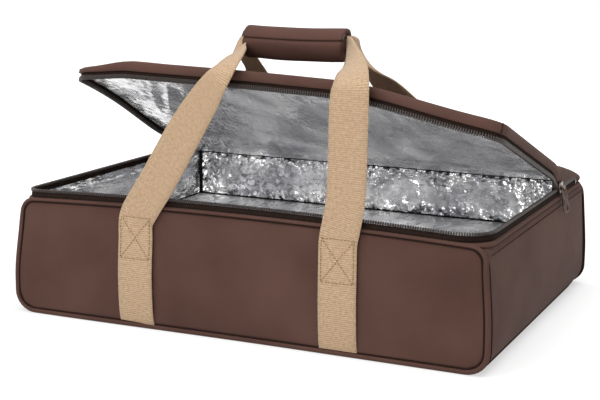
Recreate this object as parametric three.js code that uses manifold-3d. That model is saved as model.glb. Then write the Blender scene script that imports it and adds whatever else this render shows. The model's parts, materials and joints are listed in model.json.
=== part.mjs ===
// Insulated pizza delivery bag with a zipped soft lid and a wrapped webbing handle.
// Millimetres, +Z up, the front panel faces -Y, the origin is the middle of the base on the ground.
import * as THREE from 'three';
import { mergeVertices } from 'three/addons/utils/BufferGeometryUtils.js';
import Module from 'manifold-3d';

const wasm = await Module();
wasm.setup();

// Overall sizes of the bag
const BAG_WIDTH = 500;
const BAG_DEPTH = 375;
const WALL_HEIGHT = 112;
const BASE_CORNER_RADIUS = 30;
const PANEL_TOP_RADIUS = 12;
const RIM_CORNER_RADIUS = 26;

// Layers of the wall, from outside to inside
const PANEL_THICKNESS = 1.5;
const FOAM_THICKNESS = 8;
const LINER_THICKNESS = 1;
const PIPING_SIZE = 6;
const PIPING_ROUND = 1.8;
const PANEL_INSET = 1.5;
const SEAM_GAP = 0.3;
const JOIN_OVERLAP = 0.5;

// Base pad under the foil floor, and the bindings in the inside corners
const BASE_PAD_HEIGHT = 52;
const BASE_FOAM_MARGIN = 40;
const BINDING_SIZE = 4;
const HINGE_BINDING_THICKNESS = 1.2;
const HINGE_BINDING_HEIGHT = 6;

// Rim strip and zip, upwards from the wall
const RIM_STRIP_HEIGHT = 6;
const ZIP_TAPE_INSET = 4;
const ZIP_TAPE_THICKNESS = 1.2;
const ZIP_TAPE_HEIGHT = 6.4;
const ZIP_COIL_SIZE = 3;
const ZIP_MESH_GAP = 2.4;
const ZIP_END_FROM_BACK = 35.5;
const ZIP_STOP_LENGTH = 4;
const ZIP_STOP_CLEARANCE = 0.4;

// Slider and pull
const SLIDER_FROM_BACK = 112.5;
const SLIDER_LENGTH = 13;
const SLIDER_PLATE = 1.5;
const SLIDER_JAW_CLEARANCE = 1.4;
const SLIDER_LIP = 1.5;
const SLIDER_BRIDGE = 1.6;
const LUG_WIDTH = 4;
const LUG_REACH = 3.6;
const LUG_HEIGHT = 4.4;
const PULL_PIN_RADIUS = 0.9;
const PULL_EYE_RADIUS = 2.2;
const PULL_EYE_CLEARANCE = 0.3;
const PULL_EAR_WIDTH = 2;
const PULL_LENGTH = 32;
const PULL_THICKNESS = 1.8;
const PULL_LEAN = 12;

// Lid: band height, foam and the slanted fold line
const LID_INSET = 2.5;
const LID_BAND_HEIGHT = 13;
const LID_BAND_THICKNESS = 1.5;
const LID_FOAM_THICKNESS = 8;
const LID_OPEN_ANGLE = 18.5;
const FOLD_LEFT_FROM_BACK = 42.5;
const FOLD_RIGHT_FROM_BACK = 102.5;
const LID_BACK_DROP = 10;

// Webbing straps and handle
const WEBBING_WIDTH = 38;
const WEBBING_THICKNESS = 1.8;
const STRAP_X = 108;
const SEWN_TOP = 100;
const STRAP_STRAIGHT = 6;
const HANDLE_X = 17;
const HANDLE_FROM_FRONT = 102.5;
const HANDLE_ABOVE_LID = 125.5;
const WRAP_LENGTH = 110;
const WRAP_INNER_RADIUS = 11;
const WRAP_THICKNESS = 2;
const GRIP_WEBBING_WIDTH = 20;
const GRIP_WEBBING_SPACING = 4;
const HOOK_LOOP_THICKNESS = 0.8;
const FLAP_THICKNESS = 1.8;
const FLAP_ROOT_ANGLE = 62;
const FLAP_EDGE_ANGLE = 158;
const SLIT_START_ANGLE = 112;
const SLIT_END_ANGLE = 126;
const HOOK_LOOP_START_ANGLE = 129;
const HOOK_LOOP_END_ANGLE = 154;

// Positions worked out from the sizes above
const halfWidth = BAG_WIDTH / 2;
const halfDepth = BAG_DEPTH / 2;
const panelX = halfWidth - PANEL_INSET;
const panelY = halfDepth - PANEL_INSET;
const foamX = panelX - PANEL_THICKNESS - SEAM_GAP;
const foamY = panelY - PANEL_THICKNESS - SEAM_GAP;
const linerX = foamX - FOAM_THICKNESS - SEAM_GAP;
const linerY = foamY - FOAM_THICKNESS - SEAM_GAP;
const insideX = linerX - LINER_THICKNESS;
const insideY = linerY - LINER_THICKNESS;
const pipedX = halfWidth - PIPING_SIZE - SEAM_GAP;
const pipedY = halfDepth - PIPING_SIZE - SEAM_GAP;
const pipedRadius = BASE_CORNER_RADIUS - PIPING_SIZE - SEAM_GAP;
const baseFoamZ = PANEL_THICKNESS + SEAM_GAP;
const basePadZ = baseFoamZ + FOAM_THICKNESS + SEAM_GAP;
const floorZ = basePadZ + BASE_PAD_HEIGHT + SEAM_GAP;
const rimZ = WALL_HEIGHT + SEAM_GAP;
const tapeZ = rimZ + RIM_STRIP_HEIGHT + SEAM_GAP;
const coilZ = tapeZ + ZIP_TAPE_HEIGHT + SEAM_GAP;
const lidCoilZ = coilZ + ZIP_COIL_SIZE + ZIP_MESH_GAP;
const lidTapeZ = lidCoilZ + ZIP_COIL_SIZE + SEAM_GAP;
const lidBandZ = lidTapeZ + ZIP_TAPE_HEIGHT + SEAM_GAP;
const lidPanelZ = lidBandZ + LID_BAND_HEIGHT + SEAM_GAP;
const lidTopZ = lidPanelZ + PANEL_THICKNESS;
const lidFoamZ = lidPanelZ - SEAM_GAP - LID_FOAM_THICKNESS;
const lidLinerZ = lidFoamZ - SEAM_GAP - LINER_THICKNESS;
const coilInset = ZIP_TAPE_INSET + (ZIP_TAPE_THICKNESS - ZIP_COIL_SIZE) / 2;
const coilX = halfWidth - coilInset - ZIP_COIL_SIZE / 2;
const wrapRadius = WRAP_INNER_RADIUS + WRAP_THICKNESS;
const loopRadius = wrapRadius + SEAM_GAP;
const hookRadius = loopRadius + HOOK_LOOP_THICKNESS + SEAM_GAP;
const flapRadius = hookRadius + HOOK_LOOP_THICKNESS + SEAM_GAP;
const zipEndY = halfDepth - ZIP_END_FROM_BACK;
const sliderY = halfDepth - SLIDER_FROM_BACK;
const foldLeftY = halfDepth - FOLD_LEFT_FROM_BACK;
const foldRightY = halfDepth - FOLD_RIGHT_FROM_BACK;
const handleY = -halfDepth + HANDLE_FROM_FRONT;
const handleZ = lidTopZ + HANDLE_ABOVE_LID;
const arcSteps = 6;
const eyeSteps = 8;
const pinSides = 12;
const sleeveSteps = 16;

const BROWN = 0x5f4a42;
const DARK_BROWN = 0x33282a;
const TAN = 0xcdb293;
const FOIL = 0xb9babd;
const FOAM_WHITE = 0xe6e4de;
const BLACK = 0x1b1a1a;
const cloth = () => new THREE.MeshStandardMaterial({ color: BROWN, roughness: 0.75, metalness: 0 });
const tape = () => new THREE.MeshStandardMaterial({ color: DARK_BROWN, roughness: 0.8, metalness: 0 });
const webbing = () => new THREE.MeshStandardMaterial({ color: TAN, roughness: 0.85, metalness: 0 });
const foil = () => new THREE.MeshStandardMaterial({ color: FOIL, roughness: 0.3, metalness: 0.9 });
const foam = () => new THREE.MeshStandardMaterial({ color: FOAM_WHITE, roughness: 0.95, metalness: 0 });
const binding = () => new THREE.MeshStandardMaterial({ color: BLACK, roughness: 0.85, metalness: 0 });
const metal = () => new THREE.MeshStandardMaterial({ color: BROWN, roughness: 0.4, metalness: 0.6 });

const bag = new THREE.Group();
const lid = new THREE.Group();

function addMesh(group, name, geometry, material) {
  const mesh = new THREE.Mesh(geometry, material);
  mesh.name = name;
  group.add(mesh);
  return mesh;
}

// A box between two corners.
function boxBetween(x0, x1, y0, y1, z0, z1) {
  const geometry = new THREE.BoxGeometry(x1 - x0, y1 - y0, z1 - z0);
  return geometry.translate((x0 + x1) / 2, (y0 + y1) / 2, (z0 + z1) / 2);
}

// A plan outline raised between a lower and an upper surface, each a height or a function of x and y.
function slab(outline, lower, upper) {
  const height = (surface, x, y) => (typeof surface === 'function' ? surface(x, y) : surface);
  const geometry = new THREE.ExtrudeGeometry(outline, {
    depth: 1, bevelEnabled: false, curveSegments: arcSteps,
  });
  const position = geometry.attributes.position;
  for (let i = 0; i < position.count; i += 1) {
    const x = position.getX(i);
    const y = position.getY(i);
    position.setZ(i, height(position.getZ(i) > 0.5 ? upper : lower, x, y));
  }
  return geometry;
}

// An outline drawn in X and Z, given its thickness from yBack towards -Y.
function wall(outline, yBack, thickness) {
  const geometry = new THREE.ExtrudeGeometry(outline, {
    depth: thickness, bevelEnabled: false, curveSegments: arcSteps,
  });
  return geometry.rotateX(Math.PI / 2).translate(0, yBack, 0);
}

// The upright outline of a front or back layer: wide radii below, small ones at the top.
function uprightOutline(halfLength, bottom, top, bottomRadius, topRadius) {
  const shape = new THREE.Shape();
  shape.moveTo(-halfLength + bottomRadius, bottom);
  shape.absarc(halfLength - bottomRadius, bottom + bottomRadius, bottomRadius, -Math.PI / 2, 0);
  shape.absarc(halfLength - topRadius, top - topRadius, topRadius, 0, Math.PI / 2);
  shape.absarc(-halfLength + topRadius, top - topRadius, topRadius, Math.PI / 2, Math.PI);
  shape.absarc(-halfLength + bottomRadius, bottom + bottomRadius, bottomRadius, Math.PI, 1.5 * Math.PI);
  return shape;
}

// A U-shaped strip standing in X and Z: left side, bottom with round corners, right side.
function uprightU(halfLength, top, radius, thickness) {
  const shape = new THREE.Shape();
  const inner = radius - thickness;
  shape.moveTo(-halfLength, top);
  shape.lineTo(-halfLength, radius);
  shape.absarc(-halfLength + radius, radius, radius, Math.PI, 1.5 * Math.PI);
  shape.absarc(halfLength - radius, radius, radius, 1.5 * Math.PI, 2 * Math.PI);
  shape.lineTo(halfLength, top);
  shape.lineTo(halfLength - thickness, top);
  shape.absarc(halfLength - radius, radius, inner, 2 * Math.PI, 1.5 * Math.PI, true);
  shape.absarc(-halfLength + radius, radius, inner, 1.5 * Math.PI, Math.PI, true);
  shape.lineTo(-halfLength + thickness, top);
  return shape;
}

// Half sizes and corner radius of the rim's plan outline at an inset from the bag's box.
function rimAt(inset) {
  return { a: halfWidth - inset, b: halfDepth - inset, r: RIM_CORNER_RADIUS - inset };
}

// The rim's plan outline as a closed ring.
function ringOutline(inset, thickness) {
  const closed = (offset, path) => {
    const { a, b, r } = rimAt(offset);
    path.moveTo(-a, b - r);
    path.lineTo(-a, -b + r);
    path.absarc(-a + r, -b + r, r, Math.PI, 1.5 * Math.PI);
    path.absarc(a - r, -b + r, r, 1.5 * Math.PI, 2 * Math.PI);
    path.absarc(a - r, b - r, r, 0, Math.PI / 2);
    path.absarc(-a + r, b - r, r, Math.PI / 2, Math.PI);
    return path;
  };
  const shape = closed(inset, new THREE.Shape());
  shape.holes.push(closed(inset + thickness, new THREE.Path()));
  return shape;
}

// A strip of the rim's plan outline round the front, from one side to the other.
function frontStrip(inset, thickness, leftY, rightY) {
  const outer = rimAt(inset);
  const inner = rimAt(inset + thickness);
  const shape = new THREE.Shape();
  shape.moveTo(-outer.a, leftY);
  shape.lineTo(-outer.a, -outer.b + outer.r);
  shape.absarc(-outer.a + outer.r, -outer.b + outer.r, outer.r, Math.PI, 1.5 * Math.PI);
  shape.absarc(outer.a - outer.r, -outer.b + outer.r, outer.r, 1.5 * Math.PI, 2 * Math.PI);
  shape.lineTo(outer.a, rightY);
  shape.lineTo(inner.a, rightY);
  shape.absarc(inner.a - inner.r, -inner.b + inner.r, inner.r, 2 * Math.PI, 1.5 * Math.PI, true);
  shape.absarc(-inner.a + inner.r, -inner.b + inner.r, inner.r, 1.5 * Math.PI, Math.PI, true);
  shape.lineTo(-inner.a, leftY);
  return shape;
}

// A strip of the rim's plan outline round the back, from one side to the other.
function backStrip(inset, thickness, leftY, rightY) {
  const outer = rimAt(inset);
  const inner = rimAt(inset + thickness);
  const shape = new THREE.Shape();
  shape.moveTo(outer.a, rightY);
  shape.lineTo(outer.a, outer.b - outer.r);
  shape.absarc(outer.a - outer.r, outer.b - outer.r, outer.r, 0, Math.PI / 2);
  shape.absarc(-outer.a + outer.r, outer.b - outer.r, outer.r, Math.PI / 2, Math.PI);
  shape.lineTo(-outer.a, leftY);
  shape.lineTo(-inner.a, leftY);
  shape.absarc(-inner.a + inner.r, inner.b - inner.r, inner.r, Math.PI, Math.PI / 2, true);
  shape.absarc(inner.a - inner.r, inner.b - inner.r, inner.r, Math.PI / 2, 0, true);
  shape.lineTo(inner.a, rightY);
  return shape;
}

// The fold line's Y at a given X.
function foldY(x) {
  return foldLeftY + ((x + halfWidth) / BAG_WIDTH) * (foldRightY - foldLeftY);
}

// The lid's plan outline in front of the fold line, or behind it.
function lidOutline(inset, front) {
  const { a, b, r } = rimAt(inset);
  const shape = new THREE.Shape();
  if (front) {
    shape.moveTo(-a, foldY(-a) - SEAM_GAP);
    shape.lineTo(-a, -b + r);
    shape.absarc(-a + r, -b + r, r, Math.PI, 1.5 * Math.PI);
    shape.absarc(a - r, -b + r, r, 1.5 * Math.PI, 2 * Math.PI);
    shape.lineTo(a, foldY(a) - SEAM_GAP);
  } else {
    shape.moveTo(a, foldY(a) + SEAM_GAP);
    shape.lineTo(a, b - r);
    shape.absarc(a - r, b - r, r, 0, Math.PI / 2);
    shape.absarc(-a + r, b - r, r, Math.PI / 2, Math.PI);
    shape.lineTo(-a, foldY(-a) + SEAM_GAP);
  }
  return shape;
}

// A surface of the fixed rear lid, which falls from the fold line to the back edge.
function rearSurface(z) {
  return (x, y) => z - (LID_BACK_DROP * (y - foldY(x))) / (halfDepth - foldY(x));
}

// Closed solids from geometry, and back again.
function toSolid(geometry) {
  const bare = geometry.clone();
  bare.deleteAttribute('normal');
  bare.deleteAttribute('uv');
  const merged = mergeVertices(bare, 1e-4);
  return new wasm.Manifold(new wasm.Mesh({
    numProp: 3,
    vertProperties: new Float32Array(merged.attributes.position.array),
    triVerts: new Uint32Array(merged.index.array),
  }));
}

function toGeometry(solid) {
  const mesh = solid.getMesh();
  const geometry = new THREE.BufferGeometry();
  geometry.setAttribute('position', new THREE.BufferAttribute(new Float32Array(mesh.vertProperties), 3));
  geometry.setIndex(new THREE.BufferAttribute(new Uint32Array(mesh.triVerts), 1));
  geometry.computeVertexNormals();
  return geometry;
}

function joined(geometries) {
  return toGeometry(geometries.map(toSolid).reduce((sum, solid) => sum.add(solid)));
}

// A flat strap along hand-placed stations: each has a point, a half width and the way its face looks.
function ribbon(stations, thickness) {
  const stepsPerSpan = 4;
  const curveOf = (list) => new THREE.CatmullRomCurve3(list, false, 'centripetal');
  const path = curveOf(stations.map((s) => new THREE.Vector3(...s.at)));
  const count = (stations.length - 1) * stepsPerSpan;
  const positions = [];
  const index = [];
  for (let i = 0; i <= count; i += 1) {
    const t = i / count;
    const span = Math.min(Math.floor(t * (stations.length - 1)), stations.length - 2);
    const blend = t * (stations.length - 1) - span;
    const from = stations[span];
    const to = stations[span + 1];
    const centre = path.getPoint(t);
    const tangent = path.getTangent(t);
    const face = new THREE.Vector3(...from.face).lerp(new THREE.Vector3(...to.face), blend);
    const across = new THREE.Vector3().crossVectors(tangent, face).normalize();
    const normal = new THREE.Vector3().crossVectors(across, tangent).normalize();
    across.multiplyScalar(from.half + (to.half - from.half) * blend);
    normal.multiplyScalar(thickness / 2);
    for (const [u, v] of [[-1, -1], [-1, 1], [1, 1], [1, -1]]) {
      const corner = centre.clone().addScaledVector(across, u).addScaledVector(normal, v);
      positions.push(corner.x, corner.y, corner.z);
    }
    if (i > 0) {
      const now = 4 * i;
      const before = now - 4;
      for (let k = 0; k < 4; k += 1) {
        const next = (k + 1) % 4;
        index.push(before + k, before + next, now + next, before + k, now + next, now + k);
      }
    }
  }
  const last = 4 * count;
  index.push(0, 2, 1, 0, 3, 2, last, last + 1, last + 2, last, last + 2, last + 3);
  const geometry = new THREE.BufferGeometry();
  geometry.setAttribute('position', new THREE.Float32BufferAttribute(positions, 3));
  geometry.setIndex(index);
  geometry.computeVertexNormals();
  return geometry;
}

// Outer panels: front and back stand between the piping, the sides and base fill the gusset.
function addPanels() {
  const face = uprightOutline(pipedX, PIPING_SIZE + SEAM_GAP, WALL_HEIGHT, pipedRadius, PANEL_TOP_RADIUS);
  addMesh(bag, 'front_panel', wall(face, -panelY + PANEL_THICKNESS, PANEL_THICKNESS), cloth());
  addMesh(bag, 'back_panel', wall(face, panelY, PANEL_THICKNESS), cloth());
  const baseOutline = uprightU(panelX, BASE_CORNER_RADIUS, BASE_CORNER_RADIUS, PANEL_THICKNESS);
  const base = wall(baseOutline, pipedY, 2 * pipedY);
  addMesh(bag, 'base_panel', base, cloth());
  const sideBottom = BASE_CORNER_RADIUS + SEAM_GAP;
  const inner = panelX - PANEL_THICKNESS;
  const right = boxBetween(inner, panelX, -pipedY, pipedY, sideBottom, WALL_HEIGHT);
  const left = boxBetween(-panelX, -inner, -pipedY, pipedY, sideBottom, WALL_HEIGHT);
  addMesh(bag, 'right_panel', right, cloth());
  addMesh(bag, 'left_panel', left, cloth());
}

// Piping cords round the front and back panels, with rounded edges.
function addPiping() {
  const outline = uprightU(halfWidth - PIPING_ROUND, WALL_HEIGHT - 2 * PIPING_ROUND,
    BASE_CORNER_RADIUS - PIPING_ROUND, PIPING_SIZE - 2 * PIPING_ROUND);
  const cord = (yBack) => new THREE.ExtrudeGeometry(outline, {
    depth: PIPING_SIZE - 2 * PIPING_ROUND,
    bevelEnabled: true,
    bevelThickness: PIPING_ROUND,
    bevelSize: PIPING_ROUND,
    bevelSegments: 2,
    curveSegments: arcSteps,
  }).rotateX(Math.PI / 2).translate(0, yBack - PIPING_ROUND, PIPING_ROUND);
  addMesh(bag, 'front_piping', cord(-halfDepth + PIPING_SIZE), cloth());
  addMesh(bag, 'back_piping', cord(halfDepth), cloth());
}

// Insulating foam behind every panel.
function addFoam() {
  const face = uprightOutline(pipedX, basePadZ, WALL_HEIGHT, pipedRadius, PANEL_TOP_RADIUS);
  addMesh(bag, 'front_foam', wall(face, -foamY + FOAM_THICKNESS, FOAM_THICKNESS), foam());
  addMesh(bag, 'back_foam', wall(face, foamY, FOAM_THICKNESS), foam());
  const sideBottom = BASE_CORNER_RADIUS + SEAM_GAP;
  const inner = foamX - FOAM_THICKNESS;
  const sideY = linerY;
  addMesh(bag, 'right_foam', boxBetween(inner, foamX, -sideY, sideY, sideBottom, WALL_HEIGHT), foam());
  addMesh(bag, 'left_foam', boxBetween(-foamX, -inner, -sideY, sideY, sideBottom, WALL_HEIGHT), foam());
  const baseX = halfWidth - BASE_FOAM_MARGIN;
  const baseTop = baseFoamZ + FOAM_THICKNESS;
  addMesh(bag, 'base_foam', boxBetween(-baseX, baseX, -sideY, sideY, baseFoamZ, baseTop), foam());
}

// Foil lining of the walls, the base pad and the foil floor on it.
function addLining() {
  const sideY = insideY - SEAM_GAP;
  const padX = insideX - SEAM_GAP;
  addMesh(bag, 'front_liner', boxBetween(-linerX, linerX, -linerY, -insideY, basePadZ, WALL_HEIGHT), foil());
  addMesh(bag, 'back_liner', boxBetween(-linerX, linerX, insideY, linerY, basePadZ, WALL_HEIGHT), foil());
  addMesh(bag, 'right_liner', boxBetween(insideX, linerX, -sideY, sideY, basePadZ, WALL_HEIGHT), foil());
  addMesh(bag, 'left_liner', boxBetween(-linerX, -insideX, -sideY, sideY, basePadZ, WALL_HEIGHT), foil());
  const padTop = basePadZ + BASE_PAD_HEIGHT;
  addMesh(bag, 'base_pad', boxBetween(-padX, padX, -sideY, sideY, basePadZ, padTop), foam());
  addMesh(bag, 'floor_liner', boxBetween(-padX, padX, -sideY, sideY, floorZ, floorZ + LINER_THICKNESS), foil());
}

// Dark bindings in the four inside corners and along the lid's hinge.
function addBindings() {
  const cornerX = insideX - SEAM_GAP;
  const cornerY = insideY - SEAM_GAP;
  const bottom = floorZ + LINER_THICKNESS + SEAM_GAP;
  const corners = [['front_left', -1, -1], ['front_right', 1, -1], ['back_left', -1, 1], ['back_right', 1, 1]];
  for (const [name, sx, sy] of corners) {
    const x = sx * (cornerX - BINDING_SIZE / 2);
    const y = sy * (cornerY - BINDING_SIZE / 2);
    const strip = new THREE.BoxGeometry(BINDING_SIZE, BINDING_SIZE, WALL_HEIGHT - bottom);
    addMesh(bag, `${name}_binding`, strip.translate(x, y, (WALL_HEIGHT + bottom) / 2), binding());
  }
  const hingeX = insideX - RIM_CORNER_RADIUS;
  const hinge = boxBetween(-hingeX, hingeX, cornerY - HINGE_BINDING_THICKNESS, cornerY, rimZ,
    rimZ + HINGE_BINDING_HEIGHT);
  addMesh(bag, 'hinge_binding', hinge, binding());
}

// Rim strip, and the body's half of the zip with its end stops.
function addRim() {
  const rimWidth = panelX - insideX;
  addMesh(bag, 'rim_strip', slab(ringOutline(PANEL_INSET, rimWidth), rimZ, rimZ + RIM_STRIP_HEIGHT), cloth());
  const tapeOutline = frontStrip(ZIP_TAPE_INSET, ZIP_TAPE_THICKNESS, zipEndY, zipEndY);
  addMesh(bag, 'body_zip_tape', slab(tapeOutline, tapeZ, tapeZ + ZIP_TAPE_HEIGHT), tape());
  const coilOutline = frontStrip(coilInset, ZIP_COIL_SIZE, zipEndY, zipEndY);
  addMesh(bag, 'body_zip_coil', slab(coilOutline, coilZ, coilZ + ZIP_COIL_SIZE), tape());
  const stopY = zipEndY + ZIP_STOP_CLEARANCE;
  const stopHalf = ZIP_COIL_SIZE / 2;
  for (const [name, side] of [['left', -1], ['right', 1]]) {
    const x = side * coilX;
    const stop = boxBetween(x - stopHalf, x + stopHalf, stopY, stopY + ZIP_STOP_LENGTH, tapeZ,
      lidCoilZ + ZIP_COIL_SIZE);
    addMesh(bag, `zip_stop_${name}`, stop, metal());
  }
}

// Slider with its lug and pin, astride both coils on the right rim, and the pull that hangs on the pin.
function addSlider() {
  const jaw = ZIP_COIL_SIZE / 2 + SLIDER_JAW_CLEARANCE;
  const plate = jaw + SLIDER_PLATE;
  const bridgeZ = coilZ + ZIP_COIL_SIZE + ZIP_MESH_GAP / 2;
  const low = coilZ - SLIDER_LIP;
  const high = lidCoilZ + ZIP_COIL_SIZE + SLIDER_LIP;
  const y0 = sliderY - SLIDER_LENGTH / 2;
  const y1 = sliderY + SLIDER_LENGTH / 2;
  const pinX = coilX + plate + LUG_REACH - PULL_PIN_RADIUS;
  const lugHalf = LUG_WIDTH / 2;
  const pinHalf = lugHalf + PULL_EYE_CLEARANCE + PULL_EAR_WIDTH;
  const pin = new THREE.CylinderGeometry(PULL_PIN_RADIUS, PULL_PIN_RADIUS, 2 * pinHalf, pinSides);
  const slider = joined([
    boxBetween(coilX - plate, coilX - jaw, y0, y1, low, high),
    boxBetween(coilX + jaw, coilX + plate, y0, y1, low, high),
    boxBetween(coilX - plate, coilX + plate, y0, y1, bridgeZ - SLIDER_BRIDGE / 2, bridgeZ + SLIDER_BRIDGE / 2),
    boxBetween(coilX + plate - JOIN_OVERLAP, coilX + plate + LUG_REACH, sliderY - lugHalf, sliderY + lugHalf,
      bridgeZ - LUG_HEIGHT / 2, bridgeZ + LUG_HEIGHT / 2),
    pin.translate(pinX, sliderY, bridgeZ),
  ]);
  addMesh(bag, 'zip_slider', slider, metal());

  const eye = new THREE.Shape();
  eye.absarc(0, 0, PULL_EYE_RADIUS, 0, 2 * Math.PI);
  const hole = new THREE.Path();
  hole.absarc(0, 0, PULL_PIN_RADIUS + PULL_EYE_CLEARANCE, 0, 2 * Math.PI);
  eye.holes.push(hole);
  const earStart = lugHalf + PULL_EYE_CLEARANCE;
  const ear = (y) => new THREE.ExtrudeGeometry(eye, {
    depth: PULL_EAR_WIDTH, bevelEnabled: false, curveSegments: eyeSteps,
  }).rotateX(Math.PI / 2).translate(0, y + PULL_EAR_WIDTH, 0);
  const earBottom = -PULL_PIN_RADIUS - PULL_EYE_CLEARANCE - JOIN_OVERLAP;
  const crossBar = -LUG_HEIGHT;
  const pullHalf = PULL_THICKNESS / 2;
  const leg = (y) => boxBetween(-pullHalf, pullHalf, y, y + PULL_EAR_WIDTH, crossBar - JOIN_OVERLAP, earBottom);
  const tongue = boxBetween(-pullHalf, pullHalf, -pinHalf, pinHalf, -PULL_LENGTH, crossBar);
  const pull = joined([ear(earStart), ear(-pinHalf), leg(earStart), leg(-pinHalf), tongue]);
  const swing = new THREE.Group();
  swing.position.set(pinX, sliderY, bridgeZ);
  swing.rotation.y = -THREE.MathUtils.degToRad(PULL_LEAN);
  addMesh(swing, 'zip_pull', pull, metal());
  bag.add(swing);
}

// Lid in front of the fold line, drawn shut and then swung open about that line.
function addLid() {
  const leftEnd = foldY(-halfWidth + LID_INSET) - 2 * SEAM_GAP;
  const rightEnd = foldY(halfWidth - LID_INSET) - 2 * SEAM_GAP;
  const innerInset = coilInset + ZIP_COIL_SIZE + SEAM_GAP;
  addMesh(lid, 'lid_panel', slab(lidOutline(LID_INSET, true), lidPanelZ, lidTopZ), cloth());
  const band = frontStrip(LID_INSET, LID_BAND_THICKNESS, leftEnd, rightEnd);
  addMesh(lid, 'lid_band', slab(band, lidBandZ, lidBandZ + LID_BAND_HEIGHT), cloth());
  const lining = lidOutline(innerInset, true);
  addMesh(lid, 'lid_foam', slab(lining, lidFoamZ, lidFoamZ + LID_FOAM_THICKNESS), foam());
  addMesh(lid, 'lid_liner', slab(lining, lidLinerZ, lidLinerZ + LINER_THICKNESS), foil());
  const tapeOutline = frontStrip(ZIP_TAPE_INSET, ZIP_TAPE_THICKNESS, leftEnd, rightEnd);
  addMesh(lid, 'lid_zip_tape', slab(tapeOutline, lidTapeZ, lidTapeZ + ZIP_TAPE_HEIGHT), tape());
  const coilOutline = frontStrip(coilInset, ZIP_COIL_SIZE, leftEnd, rightEnd);
  addMesh(lid, 'lid_zip_coil', slab(coilOutline, lidCoilZ, lidCoilZ + ZIP_COIL_SIZE), tape());

  const pivot = new THREE.Vector3(0, foldY(0), lidTopZ + SEAM_GAP);
  const axis = new THREE.Vector3(BAG_WIDTH, foldRightY - foldLeftY, 0).normalize();
  const hinge = new THREE.Group();
  hinge.position.copy(pivot);
  hinge.setRotationFromAxisAngle(axis, -THREE.MathUtils.degToRad(LID_OPEN_ANGLE));
  lid.position.copy(pivot).negate();
  hinge.add(lid);
  bag.add(hinge);
}

// Rear of the lid, still zipped to the body: it falls from the fold line to the hinge at the back.
function addRearLid() {
  const leftEnd = foldY(-halfWidth + LID_INSET) + 2 * SEAM_GAP;
  const rightEnd = foldY(halfWidth - LID_INSET) + 2 * SEAM_GAP;
  const innerInset = coilInset + ZIP_COIL_SIZE + SEAM_GAP;
  const panel = slab(lidOutline(LID_INSET, false), rearSurface(lidPanelZ), rearSurface(lidTopZ));
  addMesh(bag, 'lid_rear_panel', panel, cloth());
  const lining = lidOutline(innerInset, false);
  const foamTop = rearSurface(lidFoamZ + LID_FOAM_THICKNESS);
  addMesh(bag, 'lid_rear_foam', slab(lining, rearSurface(lidFoamZ), foamTop), foam());
  const linerTop = rearSurface(lidLinerZ + LINER_THICKNESS);
  addMesh(bag, 'lid_rear_liner', slab(lining, rearSurface(lidLinerZ), linerTop), foil());
  const cornerStart = halfDepth - RIM_CORNER_RADIUS;
  const backLength = halfDepth - LID_INSET - cornerStart;
  const bandFoot = (x, y) => {
    const share = Math.min(1, Math.max(0, (y - cornerStart) / backLength));
    return lidBandZ + share * (tapeZ - lidBandZ);
  };
  const band = backStrip(LID_INSET, LID_BAND_THICKNESS, leftEnd, rightEnd);
  addMesh(bag, 'lid_rear_band', slab(band, bandFoot, rearSurface(lidPanelZ - SEAM_GAP)), cloth());
  const tapeX = halfWidth - ZIP_TAPE_INSET - ZIP_TAPE_THICKNESS / 2;
  for (const [name, side, start] of [['left', -1, leftEnd], ['right', 1, rightEnd]]) {
    const half = ZIP_TAPE_THICKNESS / 2;
    const coilHalf = ZIP_COIL_SIZE / 2;
    const zip = joined([
      boxBetween(side * tapeX - half, side * tapeX + half, start, zipEndY, lidTapeZ - SEAM_GAP - JOIN_OVERLAP,
        lidTapeZ + ZIP_TAPE_HEIGHT),
      boxBetween(side * coilX - coilHalf, side * coilX + coilHalf, start, zipEndY, lidCoilZ,
        lidCoilZ + ZIP_COIL_SIZE),
    ]);
    addMesh(bag, `lid_rear_zip_${name}`, zip, tape());
  }
}

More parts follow.
